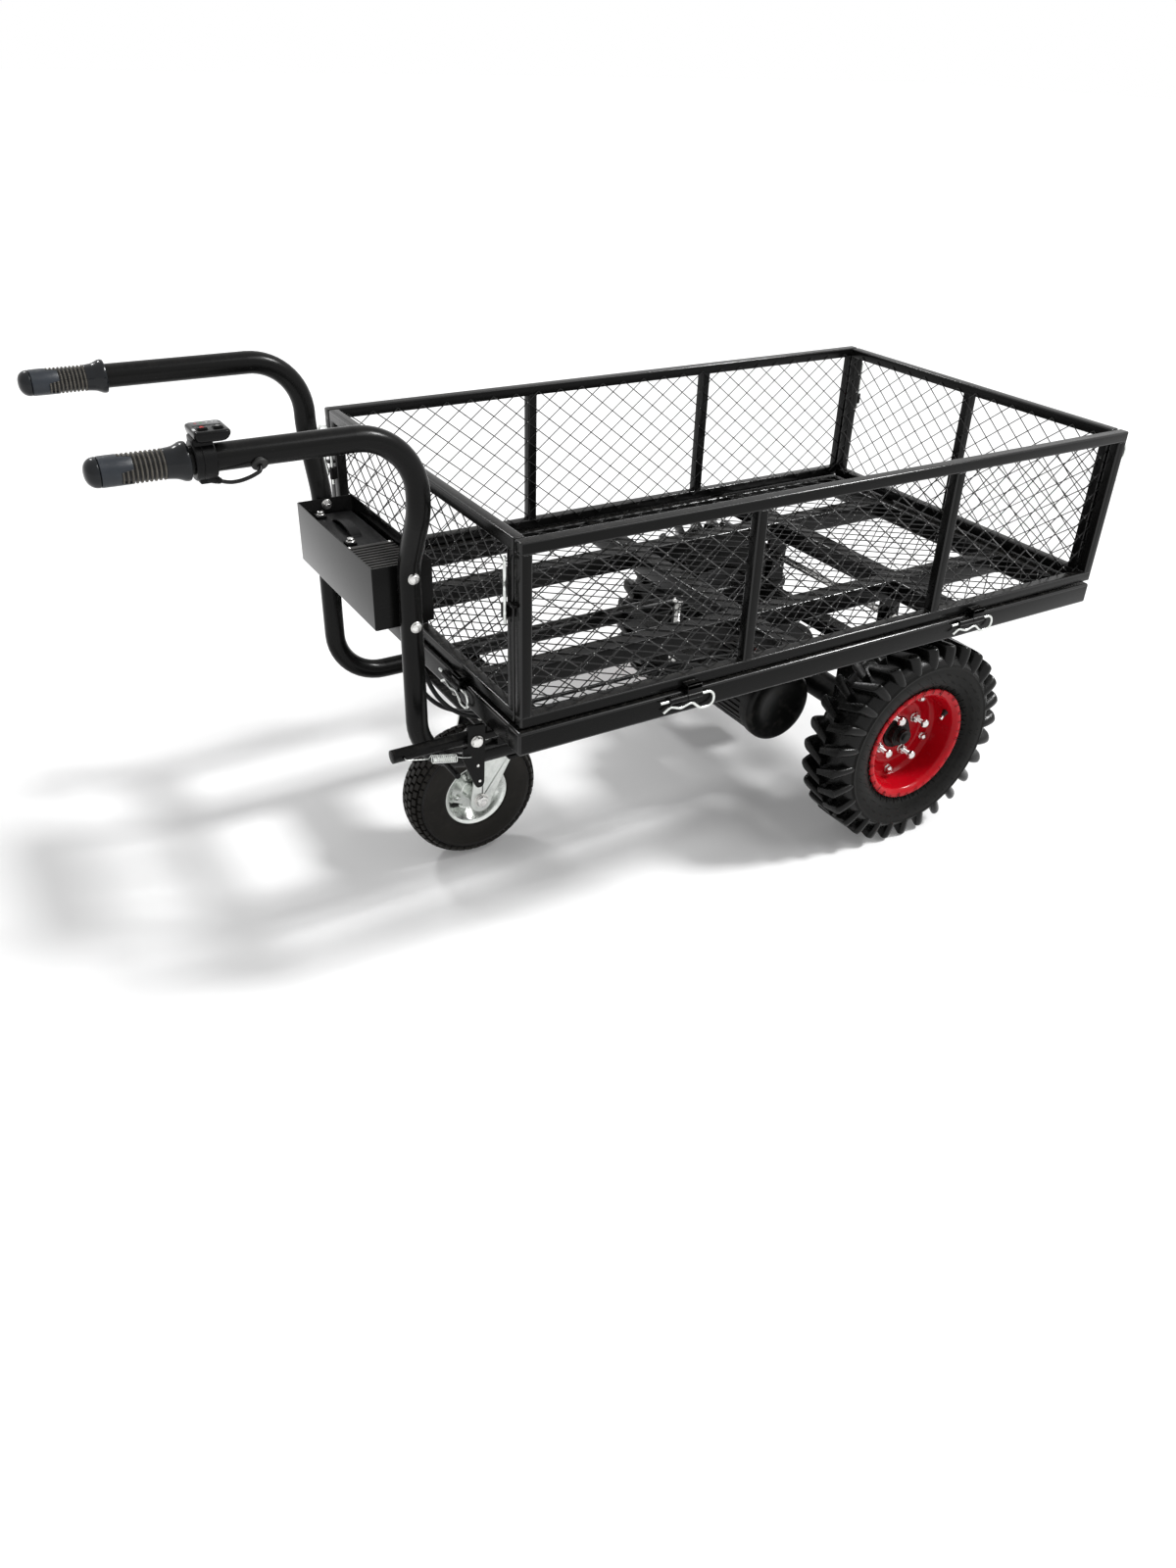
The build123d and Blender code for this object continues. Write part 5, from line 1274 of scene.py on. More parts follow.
def strap_clamp():
    """Strap clamp round the tube, its neck and the spout of the lead."""
    shape = Shape()
    x, y, z = CLAMP_START, -GRIP_Y, GRIP_Z
    ring = [
        (0, 18.4), (0, 24.6), (1.4, 26), (9, 26), (9.8, 25.4), (10.6, 26), (25.6, 26), (27, 24.6), (27, 18.4),
    ]
    shape.spin(ring, across_x((x, y, z)), 72)
    shape.block((x + 0.6, y - 15.6, z + 17), (x + 26.4, y + 15.6, z + 30), 2.6)
    shape.block((x + 5, y - 8.5, z - 30.5), (x + 22, y + 8.5, z - 22), 2.4)
    shape.block((x + 4, y + 20, z - 7), (x + 23, y + 28.5, z + 7), 2.0)
    spout = [
        (-15, 0), (-15, 6.2), (-6, 5.8), (-5, 5.2), (-3.6, 5.6), (-2.4, 4.6), (-1.0, 5.0), (0.4, 4.0),
        (1.6, 4.2), (2.6, 3.2), (2.6, 2.4),
    ]
    shape.spin(spout, facing(LEAD_MOUTH, Vector(LEAD_AHEAD) - Vector(LEAD_MOUTH)), 24, loop=False)
    shape.coat = 1
    shape.hexagon(facing((x + 13.5, y + 28.3, z), (0, 1, 0)), 7, 1.6, 0.6)
    coats = ["plastic_strap", "steel_bright"]
    piece("control_strap", shape, "chassis", coats, ["control_clamp"])


def push_buttons():
    """Two push caps with a dished top."""
    levels = ((-8.8, 1.0), (1.6, 1.0), (2.5, 0.95), (2.9, 0.86), (2.6, 0.74), (2.25, 0.45), (2.15, 0.1))
    colours = {"power_button": "red", "mode_button": "grey"}
    for node, x in BUTTONS.items():
        shape = Shape()
        rings = []
        for height, share in levels:
            rings.append(button_ring(x, 6.4 * share, 4.4 * share, 2.0, HEAD_TOP + height))
        shape.skin(rings)
        for index, face in enumerate(shape.faces):
            if all(abs(shape.points[k].x - x) < 3.0 and shape.points[k].z > HEAD_TOP for k in face):
                shape.coats[index] = 1
        coats = ["plastic_head", f"plastic_{colours[node]}"]
        piece(f"{node}_cap", shape, node, coats, [node], crease=50)


def lead_grommet():
    """Rubber ring where the lead enters the tube."""
    shape = Shape()
    outline = [(12, 2.6), (12, 9.6), (17.6, 9.6), (18.0, 11), (21.0, 11), (22, 9.4), (22, 5.2), (20.6, 2.6)]
    shape.spin(rounded(outline, 0.9, 3), facing((GROMMET_X, -GRIP_Y, GRIP_Z), (0, -0.8, -0.6)), 40)
    piece("lead_grommet", shape, "chassis", ["rubber_soft"], ["cable_grommet"])


class CART_OT_control(bpy.types.Operator):
    """Control head with its buttons and lamps, strap clamp and lead grommet"""

    bl_idname = "cart.control"
    bl_label = "Control head"

    def execute(self, context):
        control_head()
        strap_clamp()
        push_buttons()
        lead_grommet()
        return {"FINISHED"}


def box_tray():
    """Open tray of folded sheet with rounded folds and a hemmed lip."""
    low, high = corners("battery_box")
    shape = Shape()
    levels = (
        (2.2, 1.2, low.z), (0.9, 2.4, low.z + 0.5), (0.15, 3.0, low.z + 1.6), (0, 3.2, low.z + 3),
        (0, 3.2, high.z - 0.7), (0.35, 3.0, high.z - 0.15), (1.0, 2.6, high.z), (1.65, 2.0, high.z - 0.15),
        (2, 1.8, high.z - 0.7), (2, 1.8, low.z + 3.5), (2.3, 1.6, low.z + 2.4), (3.4, 1.2, low.z + 2),
    )
    rings = []
    for inset, bend, height in levels:
        near = (low.x + inset, low.y + inset)
        rings.append(level_ring(near, (high.x - inset, high.y - inset), bend, 5, height))
    shape.skin(rings)
    for index, face in enumerate(shape.faces):
        if all(abs(shape.points[k].y) > high.y - 2.6 for k in face):
            shape.coats[index] = 1
    piece("power_box_tray", shape, "chassis", ["coat_box", "coat_black"], ["battery_box"])


def battery():
    """Cased battery with a lid step, ribs, a carrying strap and two terminals."""
    low, high = corners("battery_pack")
    mid = (low.x + high.x) / 2
    top = high.z
    shape = Shape()
    shape.block(low, (high.x, high.y, top - 18), 4)
    shape.block((low.x + 1.2, low.y + 1.2, top - 22), (high.x - 1.2, high.y - 1.2, top), 3.4)
    for k in range(9):
        y = low.y + 14 + k * (high.y - low.y - 28) / 8
        for x in (low.x, high.x):
            shape.block((x - 1, y - 3, low.z + 8), (x + 1, y + 3, top - 26), 0.7)
    shape.coat = 1
    span = [
        (low.y + 40, top - 3), (low.y + 46, top + 3), (low.y + 66, top + 8.5), (low.y + 86, top + 10),
        (high.y - 66, top + 8.5), (high.y - 46, top + 3), (high.y - 40, top - 3),
    ]
    strap = (-9, -1), (9, -1), (9.4, 0), (9, 1), (-9, 1), (-9.4, 0)
    shape.skin([[Vector((mid + dx, y, z + dz)) for dx, dz in strap] for y, z in flowing(span, 5)])
    for y in (low.y + 16, high.y - 16):
        shape.coat = 1
        shape.block((mid - 30, y - 9, top - 2), (mid - 12, y + 9, top + 5), 1.6)
        shape.coat = 2
        shape.washer(at(mid - 21, y, top + 5), 3, 7, 1.2)
        shape.hexagon(at(mid - 21, y, top + 6.2), 10, 4.5, 0.8)
    coats = ["plastic_battery", "plastic_strap", "steel_bright"]
    piece("battery_case_lidded", shape, "chassis", coats, ["battery_pack"])


def controller():
    """Ribbed controller on two feet, with lid screws and a plug row."""
    low, high = corners("motor_controller")
    base = low.z + 14
    rib_low = high.z - 10
    case = Shape()
    case.block((low.x, low.y + 6, base), (high.x, high.y, high.z - 8), 1.0)
    for y in (low.y + 88, low.y + 108):
        case.block((low.x + 4, y - 5, low.z), (high.x - 4, y + 5, base + 1), 0.8)
    ribs = [(low.y, 9), (high.y - 9, 9)]
    ribs += [(low.y + 14 + 10.5 * k, 5) for k in range(9)]
    for y, wide in ribs:
        case.block((low.x, y, rib_low), (high.x, y + wide, high.z), 0.7)
    for k in range(8):
        z = base + 2 + 8 * k
        case.block((low.x + 1, low.y, z), (high.x - 1, low.y + 8, z + 4), 0.7)
    piece("ribbed_controller", case, "chassis", ["alloy_fins"], ["motor_controller"])
    shape = Shape()
    for x in (low.x + 5, high.x - 5):
        for y in (low.y + 4, high.y - 4):
            shape.dome_head(at(x, y, high.z - 0.4), 3.2, 2.0)
    shape.coat = 1
    for k in range(4):
        y = low.y + 22 + k * 25
        shape.block((high.x - 2, y - 8, low.z + 36), (high.x + 4, y + 8, low.z + 48), 1.2)
    piece("controller_screws", shape, "chassis", ["steel_bright", "plastic_strap"], ())


def box_bolts():
    """Domed bolts of the box and hexagon bolts of the caster plate."""
    shape = Shape()
    inside = POST_Y - 38.4
    for z in POST_BOLTS:
        for side in SIDES:
            shape.washer(across_y((POST_X, side * POST_Y, z), side), 4.2, 9.2, 1.7)
            shape.dome_head(across_y((POST_X, side * (POST_Y + 1.6), z), side), 7.9, 5.9)
            shape.washer(across_y((POST_X, side * inside, z), -side), 4.2, 9, 1.5)
            shape.hexagon(across_y((POST_X, side * (inside - 1.4), z), -side), 13, 5.5)
            shape.thread(across_y((POST_X, side * (inside - 6.2), z), -side), 3.9, 3.6, 1.2)
            shape.spin([(158, 3.9), (207, 3.9)], across_y((POST_X, 0, z), side), 16, loop=False)
    for x in (SWIVEL_X - 45, SWIVEL_X + 45):
        for y in (-55, 55):
            shape.washer(at(x, y, PLATE_TOP), 4.2, 9, 1.4)
            shape.hexagon(at(x, y, PLATE_TOP + 1.2), 13, 5.6, 0.4)
            shape.washer(facing((x, y, PLATE_UNDER), (0, 0, -1)), 4.2, 9, 1.4)
            shape.hexagon(facing((x, y, PLATE_UNDER - 1.2), (0, 0, -1)), 13, 6)
    piece("box_and_plate_bolts", shape, "chassis", ["steel_bright"], ["frame_bolts"])


class CART_OT_power_box(bpy.types.Operator):
    """Folded box with the battery, the finned controller and the bolts that hold it"""

    bl_idname = "cart.power_box"
    bl_label = "Power box"

    def execute(self, context):
        box_tray()
        battery()
        controller()
        box_bolts()
        return {"FINISHED"}


def latch_lever():
    """Flat lever with rounded corners and rivets."""
    outline = [
        (-15, 31), (16, 28), (12, -82), (8, -89), (-1, -89), (-5, -82), (-25, -29), (-24, -8), (-16, -9),
    ]
    shape = Shape()
    shape.slab(rounded(outline, 4, 4), -5, 0, at(*LEVER) @ Matrix.Rotation(pi / 2, 4, "X"), 0.9)
    shape.coat = 1
    for x, z in ((3.5, -76), (1, -46)):
        shape.dome_head(across_y(LEVER + Vector((x, 0, z)), -1), 2.6, 1.6)
    piece("lever_plate", shape, "latch", ["coat_black", "steel_bright"], ["latch_lever"])


def lever_bolt():
    """Domed hexagon bolt and lock nut of the lever."""
    shape = Shape()
    shape.washer(across_y((LEVER.x, LEVER.y - 0.4, LEVER.z), -1), 5, 10.5, 1.2)
    shape.hexagon(across_y((LEVER.x, LEVER.y - 1.6, LEVER.z), -1), 17, 4.2, 1.5)
    shape.spin([(0, 4.9), (31, 4.9)], across_y(LEVER, 1), 20, loop=False)
    shape.hexagon(across_y((LEVER.x, LEVER.y + 29, LEVER.z), 1), 17, 4.4, 0.4)
    piece("lever_bolt", shape, "bed", ["steel_bright"], ["latch_bolt"])


def lever_spring():
    """Tension spring of one wire, hooked in the lever and on the bar's end."""
    eye = Vector((X0 - 30, -291, 394))
    anchor = Vector((X0 - 142, -291, 420))
    along = (anchor - eye).normalized()
    side = Vector((0, 1, 0))
    up = along.cross(side)
    radius, pitch, turns, steps = 6.6, 3.3, 13, 20
    coil = eye + along * 28
    tail = coil + along * (pitch * turns)
    line = [eye + side * 7, eye + side * 4, eye + side * 1.2 + along * 0.6, eye + along * 4, eye + along * 10]
    line += [coil - along * 11, coil - along * 6 + side * 1.6, coil - along * 2.5 + side * 4.6]
    for k in range(turns * steps + 1):
        turn = 2 * pi * k / steps
        line.append(coil + along * (pitch * k / steps) + (side * cos(turn) + up * sin(turn)) * radius)
    line += [tail + along * 2.5 + side * 4.6, tail + along * 6 + side * 1.6, tail + along * 11]
    line += [anchor - along * 12, anchor - along * 4, anchor + side * 1.2 - along * 0.6]
    line += [anchor + side * 5, anchor + side * 13]
    shape = Shape()
    shape.wire(flowing(line, 2), 0.8, 8)
    wound = piece("lever_spring", shape, None, ["zinc_wire"], ["latch_spring"], merge=False)
    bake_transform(wound)


def bar_plug():
    """Plastic plug in the back end of the lift bar."""
    shape = Shape()
    place = across_x((corners("lift_bar")[0].x, -270, LEVER.z))
    shape.spin([(-0.9, 0), (-0.9, 7), (-0.4, 8.6), (1.2, 9.2), (14, 8.9), (14, 0)], place, 32, loop=False)
    piece("lift_bar_plug", shape, "bed", ["plastic_strap"], ())


class CART_OT_latch(bpy.types.Operator):
    """Bed latch: lift bar, lever, its bolt, catch pin and tension spring"""

    bl_idname = "cart.latch"
    bl_label = "Bed latch"

    def execute(self, context):
        dress("coat_black", "lift_bar", edge=1.0)
        dress("coat_black", "latch_catch_pin", edge=0.8)
        latch_lever()
        lever_bolt()
        lever_spring()
        bar_plug()
        return {"FINISHED"}


def carcass(shape, place, half, smooth, mouldings, around, tread_start):
    """Tyre body from half its outline, with raised rings and, beyond a radius, the darker tread rubber as
    painted shade between the lugs.
    """
    half = flowing(half, smooth)
    outline = []
    for along, radius in [*half, *(Vector((-point.x, point.y)) for point in reversed(half[:-1]))]:
        ring = sum(tall * exp(-((radius - spot) / wide) ** 2) for spot, tall, wide in mouldings)
        outline.append((along + copysign(ring, along), radius))
    shape.spin(outline, place, around)
    # Faces beyond the tread radius get the darker rubber: painted shade between the lugs
    inside = place.inverted()
    reach = [(inside @ point).xy.length for point in shape.points]
    shape.coats = [1 if min(reach[index] for index in face) > tread_start else 0 for face in shape.faces]


def bead_hair(shape, place, row, turn, tip):
    """Moulding hair that lies over the rim's lip."""
    line = []
    for radius, along in ((126, 42.0), (121, 45.0), (116, 45.6), (tip, 44.5)):
        line.append(polar(place, radius, turn + (126 - radius) * 0.0012, row * along))
    shape.wire(line, 0.5, 5)


def wall_hair(shape, place, row, turn, radius, along, reach):
    """Thin moulding hair that stands out of the sidewall and droops a little."""
    line = []
    for part, droop in ((-0.3, 0.0), (0.4, 0.2), (1.0, 1.0)):
        spin = turn + droop * 1.4 / radius
        line.append(polar(place, radius - droop * 0.9, spin, row * (along + part * reach)))
    shape.wire(line, 0.42, 4)


def bead_rib(shape, place, row, turn, start):
    """Thin raised rib beside the bead."""
    levels = (start, 38.2, 0.0), (start + 2, 39.3, 1.2), (start + 9, 44.8, 1.2), (start + 12, 47.2, 0.0)
    rings = []
    for radius, along, lift in levels:
        section = (-1.1, -1.0), (-0.6, lift), (0.6, lift), (1.1, -1.0)
        rings.append([polar(place, radius, turn + x / radius, row * (along + level)) for x, level in section])
    shape.skin(rings)


def tyre_lug(shape, place, row, start, side):
    """One lug: a flat bar on the crown with a round thimble end that runs down the shoulder."""
    levels = (
        (166, 54.0, 1.9), (172, 55.8, 1.6), (176, 56.4, 1.2), (184, 56.2, 0.8), (192, 55.4, 0.5),
        (200, 54.2, 0.2), (207, 52.4, 0.0), (210.6, 50.8, -0.4), (212.4, 48.6, -1.5), (213.0, 45.6, -3.2),
    )
    root = -4
    slant = 21 / 57
    crown = 205
    rings = []
    for radius, end, swell in levels:
        outer = 10.6 + swell
        inner = 7.6 + swell
        heart = end - outer
        waist = 0.5 * (inner + outer)
        edge = [(root, -inner), (heart * 0.5, -waist)]
        for turn in (pi * (k / 8 - 0.5) for k in range(9)):
            edge.append((heart + outer * cos(turn), outer * sin(turn)))
        edge += [(heart * 0.5, waist), (root, inner)]
        ring = []
        for along, across in edge:
            turn = start + side * (across + slant * (along - root) - 2) / crown
            ring.append(polar(place, radius, turn, row * along))
        rings.append(ring)
    shape.skin(rings)


def drive_tyre(name, body, place, lugs, side):
    """Carcass with sidewall rings, two rows of lugs, ribs at the bead and moulding hairs."""
    half = [
        (35.2, 104), (36.6, 112), (39, 120), (45.5, 129), (51.5, 139), (54.6, 151), (55.6, 163), (54.4, 174),
        (49, 183), (42, 189), (34, 193), (18, 196), (0, 197),
    ]
    shape = Shape()
    carcass(shape, place, half, 6, ((170, 1.4, 1.3), (131, 0.9, 1.1)), 112, 175)
    for row in SIDES:
        for k in range(46):
            bead_hair(shape, place, row, 2 * pi * (k + 0.37 * (k % 3)) / 46, 107 + 2.1 * (k % 4))
        for k in range(72):
            bead_rib(shape, place, row, 2 * pi * k / 72, 118 if k % 2 else 114)
        for radius, along, hairs, reach in ((123, 40.6, 40, 6.5), (140, 51.6, 48, 5.0), (155, 54.8, 56, 4.5)):
            for k in range(hairs):
                wall_hair(shape, place, row, 2 * pi * (k + 0.31 * (k % 3)) / hairs, radius, along, reach)
    shape.coat = 1
    pitch = 2 * pi / lugs
    for row in SIDES:
        for k in range(lugs):
            tyre_lug(shape, place, row, pitch * (k + (0.5 if row > 0 else 0.0)), side)
    # The second finish darkens the tread and the lugs as painted shade
    coats = ["rubber_tyre", "rubber_tread"]
    piece(f"lugged_tyre_{name}", shape, body, coats, [f"drive_tyre_{name}"], crease=40)


def drive_rim(name, body, place):
    """Deep dished rim with rolled lips and a pressed ring in its web, its back painted black as painted shade
    under the bed.
    """
    front = [
        (-15, 34), (-15, 62), (-13.4, 65), (-13.4, 70), (-15, 73), (-15, 90), (-7, 97), (32, 100.5),
        (37, 102), (42.4, 107.5), (44, 112), (43.6, 118.4), (39.5, 120), (35.5, 103),
    ]
    back = [
        (35.5, 103), (-35.5, 103), (-39.5, 120), (-44, 119), (-41, 113), (-36, 98), (-23, 98), (-20, 86),
        (-20, 34), (-15, 34),
    ]
    shape = Shape()
    shape.spin(rounded(front, 3.0, 4, loop=False), place, 112, loop=False)
    # The back and the barrel under the tyre get black paint as painted shade
    shape.coat = 1
    shape.spin(rounded(back, 3.0, 4, loop=False), place, 112, loop=False)
    coats = ["coat_red", "coat_black"]
    piece(f"dished_rim_{name}", shape, body, coats, [f"drive_rim_{name}"], crease=44)


def rim_valve(name, body, place, side):
    """Valve that leans out of the rim's well."""
    turn = radians(24) * -side
    out = place.to_3x3() @ Vector((cos(turn), sin(turn), 0))
    axis = place.to_3x3() @ Vector((0, 0, 1))
    stem = facing(place @ Vector((0, 0, 22)) + out * 98, axis * 0.35 - out)
    shape = Shape()
    shape.spin([(-2, 0), (-2, 6.2), (1.5, 6.2), (3.5, 4.8), (12, 4.2), (12, 0)], stem, 24, loop=False)
    shape.coat = 1
    shape.thread(stem @ at(0, 0, 12), 2.8, 3, 0.8)
    shape.spin([(14.5, 0), (14.5, 3.2), (15, 3.7), (19.6, 3.7), (20.6, 2.6), (21, 0)], stem, 18, loop=False)
    piece(f"rim_valve_{name}", shape, body, ["rubber_soft", "steel_bright"], ())


def hub_nuts(name, body, place, side):
    """Long hub studs with seat nuts and cap nuts, and the small nuts of the rim halves."""
    shape = Shape()
    stud_circle, rim_circle = 50, 84
    for k in range(4):
        turn = radians(27 + 90 * k) * -side
        spot = place @ at(stud_circle * cos(turn), stud_circle * sin(turn), 0)
        shape.thread(spot @ at(0, 0, -35), 4.9, 56, 1.6)
        shape.washer(spot @ at(0, 0, -15), 5.2, 10.5, 1.6)
        shape.hexagon(spot @ at(0, 0, -13.4), 17, 7.4)
        shape.hexagon(spot @ at(0, 0, 13), 17, 6.6, 3.4)
        shape.hexagon(spot @ at(0, 0, -28.4) @ Matrix.Rotation(pi, 4, "X"), 17, 6.4)
    for k in range(5):
        turn = radians(51 + 72 * k) * -side
        spot = place @ at(rim_circle * cos(turn), rim_circle * sin(turn), -15.2)
        shape.washer(spot, 4, 8.6, 1.4)
        shape.hexagon(spot @ at(0, 0, 1.2), 13, 7, 2.6)
    piece(f"hub_nuts_{name}", shape, body, ["steel_bright"], [f"wheel_nuts_{name}"])


def axle_nut(name, body, place):
    """Black nut on the axle's end, on two washers."""
    shape = Shape()
    for reach, tall in ((20.5, 0.0), (17.8, 1.4)):
        shape.washer(place @ at(0, 0, tall), 10, reach, 1.5)
    shape.hexagon(place @ at(0, 0, 2.6), 26, 9.2)
    shape.thread(place @ at(0, 0, 8), 8.4, 8, 1.6)
    piece(f"axle_nut_{name}", shape, body, ["cast_black"], ())


class CART_OT_drive_wheels(bpy.types.Operator):
    """Drive wheels: lugged tyres, deep red rims, hubs, studs, nuts and valves"""

    bl_idname = "cart.drive_wheels"
    bl_label = "Drive wheels"

    def execute(self, context):
        lugs = context.scene.cart_sizes.lug_count
        for name, side in (("right", -1), ("left", 1)):
            body = f"drive_wheel_{name}"
            place = across_y((AXLE.x, side * abs(AXLE.y), AXLE.z), side)
            drive_tyre(name, body, place, lugs, side)
            drive_rim(name, body, place)
            rim_valve(name, body, place, side)
            hub_nuts(name, body, place, side)
            axle_nut(name, body, place)
            dress("cast_black", f"half_shaft_{name}", edge=1.2)
        return {"FINISHED"}


def tread_block(shape, place, along, half_wide, top, turn):
    """One square block of the tread, square to the carcass."""
    half_long = 6.6
    shoulder = 20
    if abs(along) < shoulder:
        lean = atan2(along, 96)
    else:
        lean = copysign(0.32 + 0.032 * (abs(along) - shoulder), along)
    rings = []
    for depth, pull in ((-6.5, -0.5), (-0.7, 0.0), (0.0, 0.8)):
        ring = []
        for across, ahead in SQUARE:
            out = across * (half_wide - pull)
            radius = top + depth * cos(lean) - out * sin(lean)
            reach = along + out * cos(lean) + depth * sin(lean)
            ring.append(polar(place, radius, turn + ahead * (half_long - pull) / top, reach))
        rings.append(ring)
    shape.skin(rings)


def caster_tyre(place):
    """Carcass with rows of square blocks over the crown and shoulders."""
    half = [
        (25.8, 60.1), (27.8, 65.0), (33, 65.9), (36.4, 72), (38.6, 84), (39.4, 96), (37.6, 107),
        (32.5, 116.5), (25, 122.8), (14, 126.4), (0, 127.4),
    ]
    shape = Shape()
    carcass(shape, place, half, 4, ((76, 0.8, 1.0), (104, 0.6, 0.9)), 96, 112)
    rows = ((0.0, 5.4, 133.6, 0.0), (12.6, 5.0, 132.8, 0.5), (24.2, 4.6, 129.2, 0.0), (33.2, 3.4, 121.8, 0.5))
    blocks = 48
    for along, half_wide, top, shift in rows:
        for row in ((1, -1) if along else (1,)):
            for k in range(blocks):
                tread_block(shape, place, row * along, half_wide, top, 2 * pi * (k + shift) / blocks)
    # The second finish darkens the blocks and the gaps between them as painted shade
    coats = ["rubber_worn", "rubber_tread"]
    piece("block_tyre", shape, "caster_wheel", coats, ["caster_tyre"], crease=30)


def caster_rim(place):
    """Pressed zinc rim with rolled lips, dished web and hub sleeve, and its valve."""
    outline = [
        (-43, 8.05), (43, 8.05), (43, 16), (8, 18), (8, 42), (20, 50), (30, 58), (32, 65), (28, 65), (26, 60),
        (-26, 60), (-28, 65), (-32, 65), (-30, 58), (-20, 50), (-8, 42), (-8, 18), (-43, 16),
    ]
    shape = Shape()
    shape.spin(rounded(outline, 2.6, 4), place, 96)
    bolt_circle = 31
    for flip in (pi, 0):
        for k in range(4):
            turn = radians(20 + 90 * k)
            spot = place @ at(bolt_circle * cos(turn), bolt_circle * sin(turn), 0)
            face = spot @ Matrix.Rotation(flip, 4, "X") @ at(0, 0, 7.6)
            shape.washer(face, 3, 6.8, 1.2)
            shape.hexagon(face @ at(0, 0, 1), 10, 4.4, 0.8)
    stem = facing(CASTER + Vector((-38, -14, -22)), (0.5, -0.75, 0.3))
    shape.coat = 1
    shape.spin([(-3, 0), (-3, 4.8), (2, 4.4), (10, 3.4), (10, 0)], stem, 20, loop=False)
    shape.coat = 0
    shape.spin([(10, 0), (10, 2.8), (16, 2.8), (17, 0)], stem, 16, loop=False)
    coats = ["zinc_rim", "rubber_soft"]
    piece("pressed_rim", shape, "caster_wheel", coats, ["caster_rim"], crease=44)


def caster_axle():
    """Axle bolt with washers, lock nut and threaded end."""
    shape = Shape()
    for side, tall in ((-1, 7.4), (1, 8.6)):
        shape.washer(across_y((CASTER.x, side * 52, CASTER.z), side), 8.2, 15, 2)
        shape.hexagon(across_y((CASTER.x, side * 54, CASTER.z), side), 22, tall, 0.6)
    shape.thread(across_y((CASTER.x, -60, CASTER.z), -1), 7.2, 4, 1.4)
    shape.spin([(-56, 7.9), (56, 7.9)], across_y((CASTER.x, 0, CASTER.z), 1), 24, loop=False)
    piece("caster_axle", shape, "caster_swivel", ["steel_bright"], ["caster_axle_bolt"])


class CART_OT_caster(bpy.types.Operator):
    """Swivel caster: block tread tyre, pressed rim, fork, plates and axle bolt"""

    bl_idname = "cart.caster"
    bl_label = "Caster"

    def execute(self, context):
        dress("zinc_plate", "caster_fork", "caster_top_plate", edge=1.1)
        dress("coat_black", "caster_mount_plate", edge=1.1)
        place = across_y(CASTER, -1)
        caster_tyre(place)
        caster_rim(place)
        caster_axle()
        return {"FINISHED"}


def motor_end():
    """Plain cup-shaped motor end with a round shoulder and a shallow step in its face."""
    low, high = corners("motor_end_cap")
    deep = high.y - low.y
    radius, bend = 79, 11
    shape = Shape()
    outline = [(0, 10), (0, radius), (deep - bend, radius)]
    for turn in arc(8, 1):
        outline.append((deep - bend + (bend - 0.1) * sin(turn), radius - bend + bend * cos(turn)))
    outline += [(deep - 0.1, 44), (deep - 0.7, 43), (deep - 0.7, 0)]
    shape.spin(outline, across_y((MOTOR.x, high.y, MOTOR.z), -1), 96, loop=False)
    piece("motor_end_bell", shape, "chassis", ["cast_black"], ["motor_end_cap"])


def motor_terminals():
    """Terminal block on the motor: two boots over the cable ends, a red cap and a bright nut."""
    shape = Shape()
    x, top = MOTOR.x, MOTOR.z + 76
    shape.block((x - 26, -118, top - 8), (x + 33, -36, top + 4), 2)
    boot = [(0, 0), (0, 9.5), (5, 9.2), (9, 7), (14, 5.2), (14, 0)]
    for y in (-102, -73):
        shape.spin(boot, at(x - 6, y, top + 3), 28, loop=False)
    shape.coat = 1
    cap = [(0, 0), (0, 10.5), (6, 10.2), (11, 9), (14, 6), (15, 0)]
    shape.spin(cap, at(x + 19, -47, top + 3), 28, loop=False)
    shape.coat = 2
    place = at(x + 20, -74, top + 4)
    shape.washer(place, 3, 8.5, 1.4)
    shape.hexagon(place @ at(0, 0, 1.4), 13, 6.5, 0.8)
    shape.thread(place @ at(0, 0, 7), 3.8, 4.5, 1.2)
    coats = ["plastic_strap", "plastic_red", "steel_bright"]
    piece("motor_terminals", shape, "chassis", coats, ())


def case_bolts():
    """Flange bolts round the gear case cover, about the axle and about the motor."""
    shape = Shape()
    face = corners("axle_housing")[1].y + 23.8
    circles = (AXLE, 76, (-100, -50, 0, 50, 100)), (MOTOR, 34, (110, 165, 220, 270))
    for heart, reach, angles in circles:
        for turn in (radians(angle) for angle in angles):
            spot = (heart.x + reach * cos(turn), face, heart.z + reach * sin(turn))
            shape.hexagon(across_y(spot, 1), 10, 4.6, 0.5)
    piece("case_cover_bolts", shape, "chassis", ["steel_bright"], ())


class CART_OT_drive(bpy.types.Operator):
    """Motor, gear case, axle and the gears inside"""

    bl_idname = "cart.drive"
    bl_label = "Motor and axle"

    def execute(self, context):
        dress("cast_black", "axle_housing", "gear_case_cover", edge=1.6)
        dress("cast_black", "motor_body")
        dress("coat_black", "axle_brackets", edge=1.2)
        dress("steel_dark", "motor_rotor", "idler_gear", "differential_carrier", "axle_bearings")
        motor_end()
        motor_terminals()
        case_bolts()
        return {"FINISHED"}


def bed_stop():
    """Threaded stop bolt with its nuts under the bed."""
    low, high = corners("stop_bolt")
    shape = Shape()
    shape.thread(at(STOP_X, 0, low.z), 5.9, high.z - low.z - 6, 1.75)
    for z in (345, 305):
        shape.hexagon(at(STOP_X, 0, z), 19, 9.6)
    shape.washer(at(STOP_X, 0, 355), 6.2, 12, 1.8)
    shape.hexagon(at(STOP_X, 0, high.z - 10), 19, 7, 3)
    piece("bed_stop", shape, "chassis", ["steel_bright"], ["stop_bolt"])


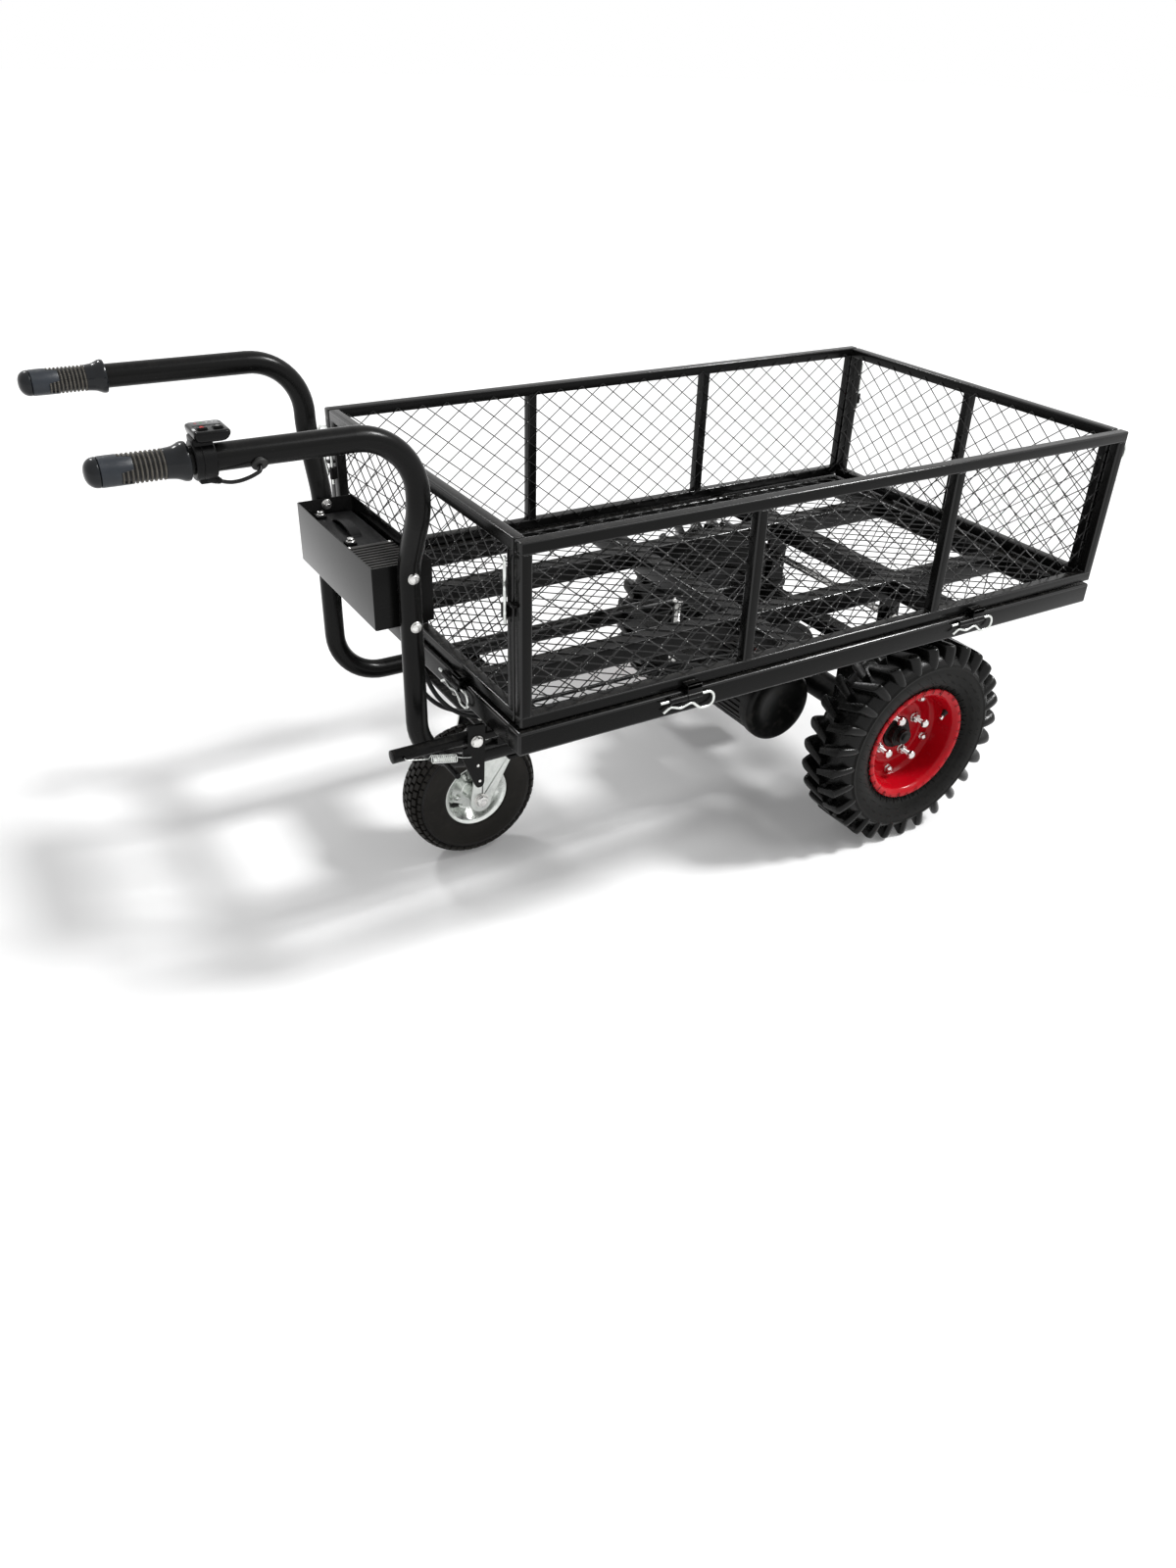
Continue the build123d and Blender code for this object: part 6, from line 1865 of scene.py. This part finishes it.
def tube_plugs():
    """Plastic plugs in the front ends of the tubes under the bed."""
    shape = Shape()
    outline = [(-16, 0), (-16, 15.4), (-0.2, 15.8), (0, 17.4), (1.6, 17.2), (3.2, 14), (3.8, 8), (4, 0)]
    end = corners("handle_tube_right")[1].x
    for side in SIDES:
        shape.spin(outline, across_x((end, side * TUBE_Y, TUBE_Z)), 40, loop=False)
    piece("tube_plugs", shape, "chassis", ["plastic_strap"], ())


def tube_welds():
    """Weld beads where the brackets meet the tubes."""
    shape = Shape()
    rest_x = X0 + 77
    for side in SIDES:
        y = side * TUBE_Y
        inner = side * (TUBE_Y - 12.6)
        for x in (rest_x - 15, rest_x + 15):
            shape.bead((x, y - 12, TUBE_Z + 13.5), (x, y + 12, TUBE_Z + 13.5), 2.4)
        for x in (STOP_X, X0 + 920):
            for z in (TUBE_Z - 12, TUBE_Z + 12):
                shape.bead((x - 14, inner, z), (x + 14, inner, z), 2.4)
        for x in (SWIVEL_X - 65, SWIVEL_X + 65):
            shape.bead((x, y - 9, PLATE_TOP + 0.4), (x, y + 8, PLATE_TOP + 0.4), 2.2)
    piece("tube_welds", shape, "chassis", ["coat_black"], ())


class CART_OT_underframe(bpy.types.Operator):
    """Handle tubes, brackets, rest pads, stop bolt and pivot pin"""

    bl_idname = "cart.underframe"
    bl_label = "Tubes and underframe"

    def execute(self, context):
        dress("coat_tube", "handle_tube_right", "handle_tube_left")
        dress("coat_black", "underframe_brackets", edge=1.4)
        dress("rubber_soft", "bed_rest_pads", edge=1.4)
        dress("steel_bright", "bed_pivot_pin", edge=1.0)
        bed_stop()
        tube_plugs()
        tube_welds()
        return {"FINISHED"}


class CART_PT_dressing(bpy.types.Panel):
    """Lists the steps that dress the cart"""

    bl_idname = "CART_PT_dressing"
    bl_label = "Electric site cart"
    bl_space_type = "VIEW_3D"
    bl_region_type = "UI"
    bl_category = "Cart"

    def draw(self, context):
        for step in STEPS:
            self.layout.operator(step.bl_idname)


GROUPS = (CartSizes, CartColours, CartStage)
STEPS = (
    CART_OT_stage, CART_OT_cables, CART_OT_nets, CART_OT_bed, CART_OT_panels, CART_OT_clips, CART_OT_grips,
    CART_OT_control, CART_OT_power_box, CART_OT_latch, CART_OT_drive_wheels, CART_OT_caster, CART_OT_drive,
    CART_OT_underframe,
)


def register():
    """Adds the cart's settings, steps and panel to Blender."""
    for group in (*GROUPS, *STEPS, CART_PT_dressing):
        bpy.utils.register_class(group)
    bpy.types.Scene.cart_sizes = PointerProperty(type=CartSizes)
    bpy.types.Scene.cart_colours = PointerProperty(type=CartColours)
    bpy.types.Scene.cart_stage = PointerProperty(type=CartStage)


def unregister():
    """Takes the cart's settings, steps and panel away again."""
    del bpy.types.Scene.cart_stage
    del bpy.types.Scene.cart_colours
    del bpy.types.Scene.cart_sizes
    for group in reversed((*GROUPS, *STEPS, CART_PT_dressing)):
        bpy.utils.unregister_class(group)


def main():
    """Dresses the cart step by step."""
    register()
    bpy.ops.cart.stage()
    bpy.ops.cart.cables()
    bpy.ops.cart.nets()
    bpy.ops.cart.bed()
    bpy.ops.cart.panels()
    bpy.ops.cart.clips()
    bpy.ops.cart.grips()
    bpy.ops.cart.control()
    bpy.ops.cart.power_box()
    bpy.ops.cart.latch()
    bpy.ops.cart.drive_wheels()
    bpy.ops.cart.caster()
    bpy.ops.cart.drive()
    bpy.ops.cart.underframe()


if __name__ == "__main__":
    main()
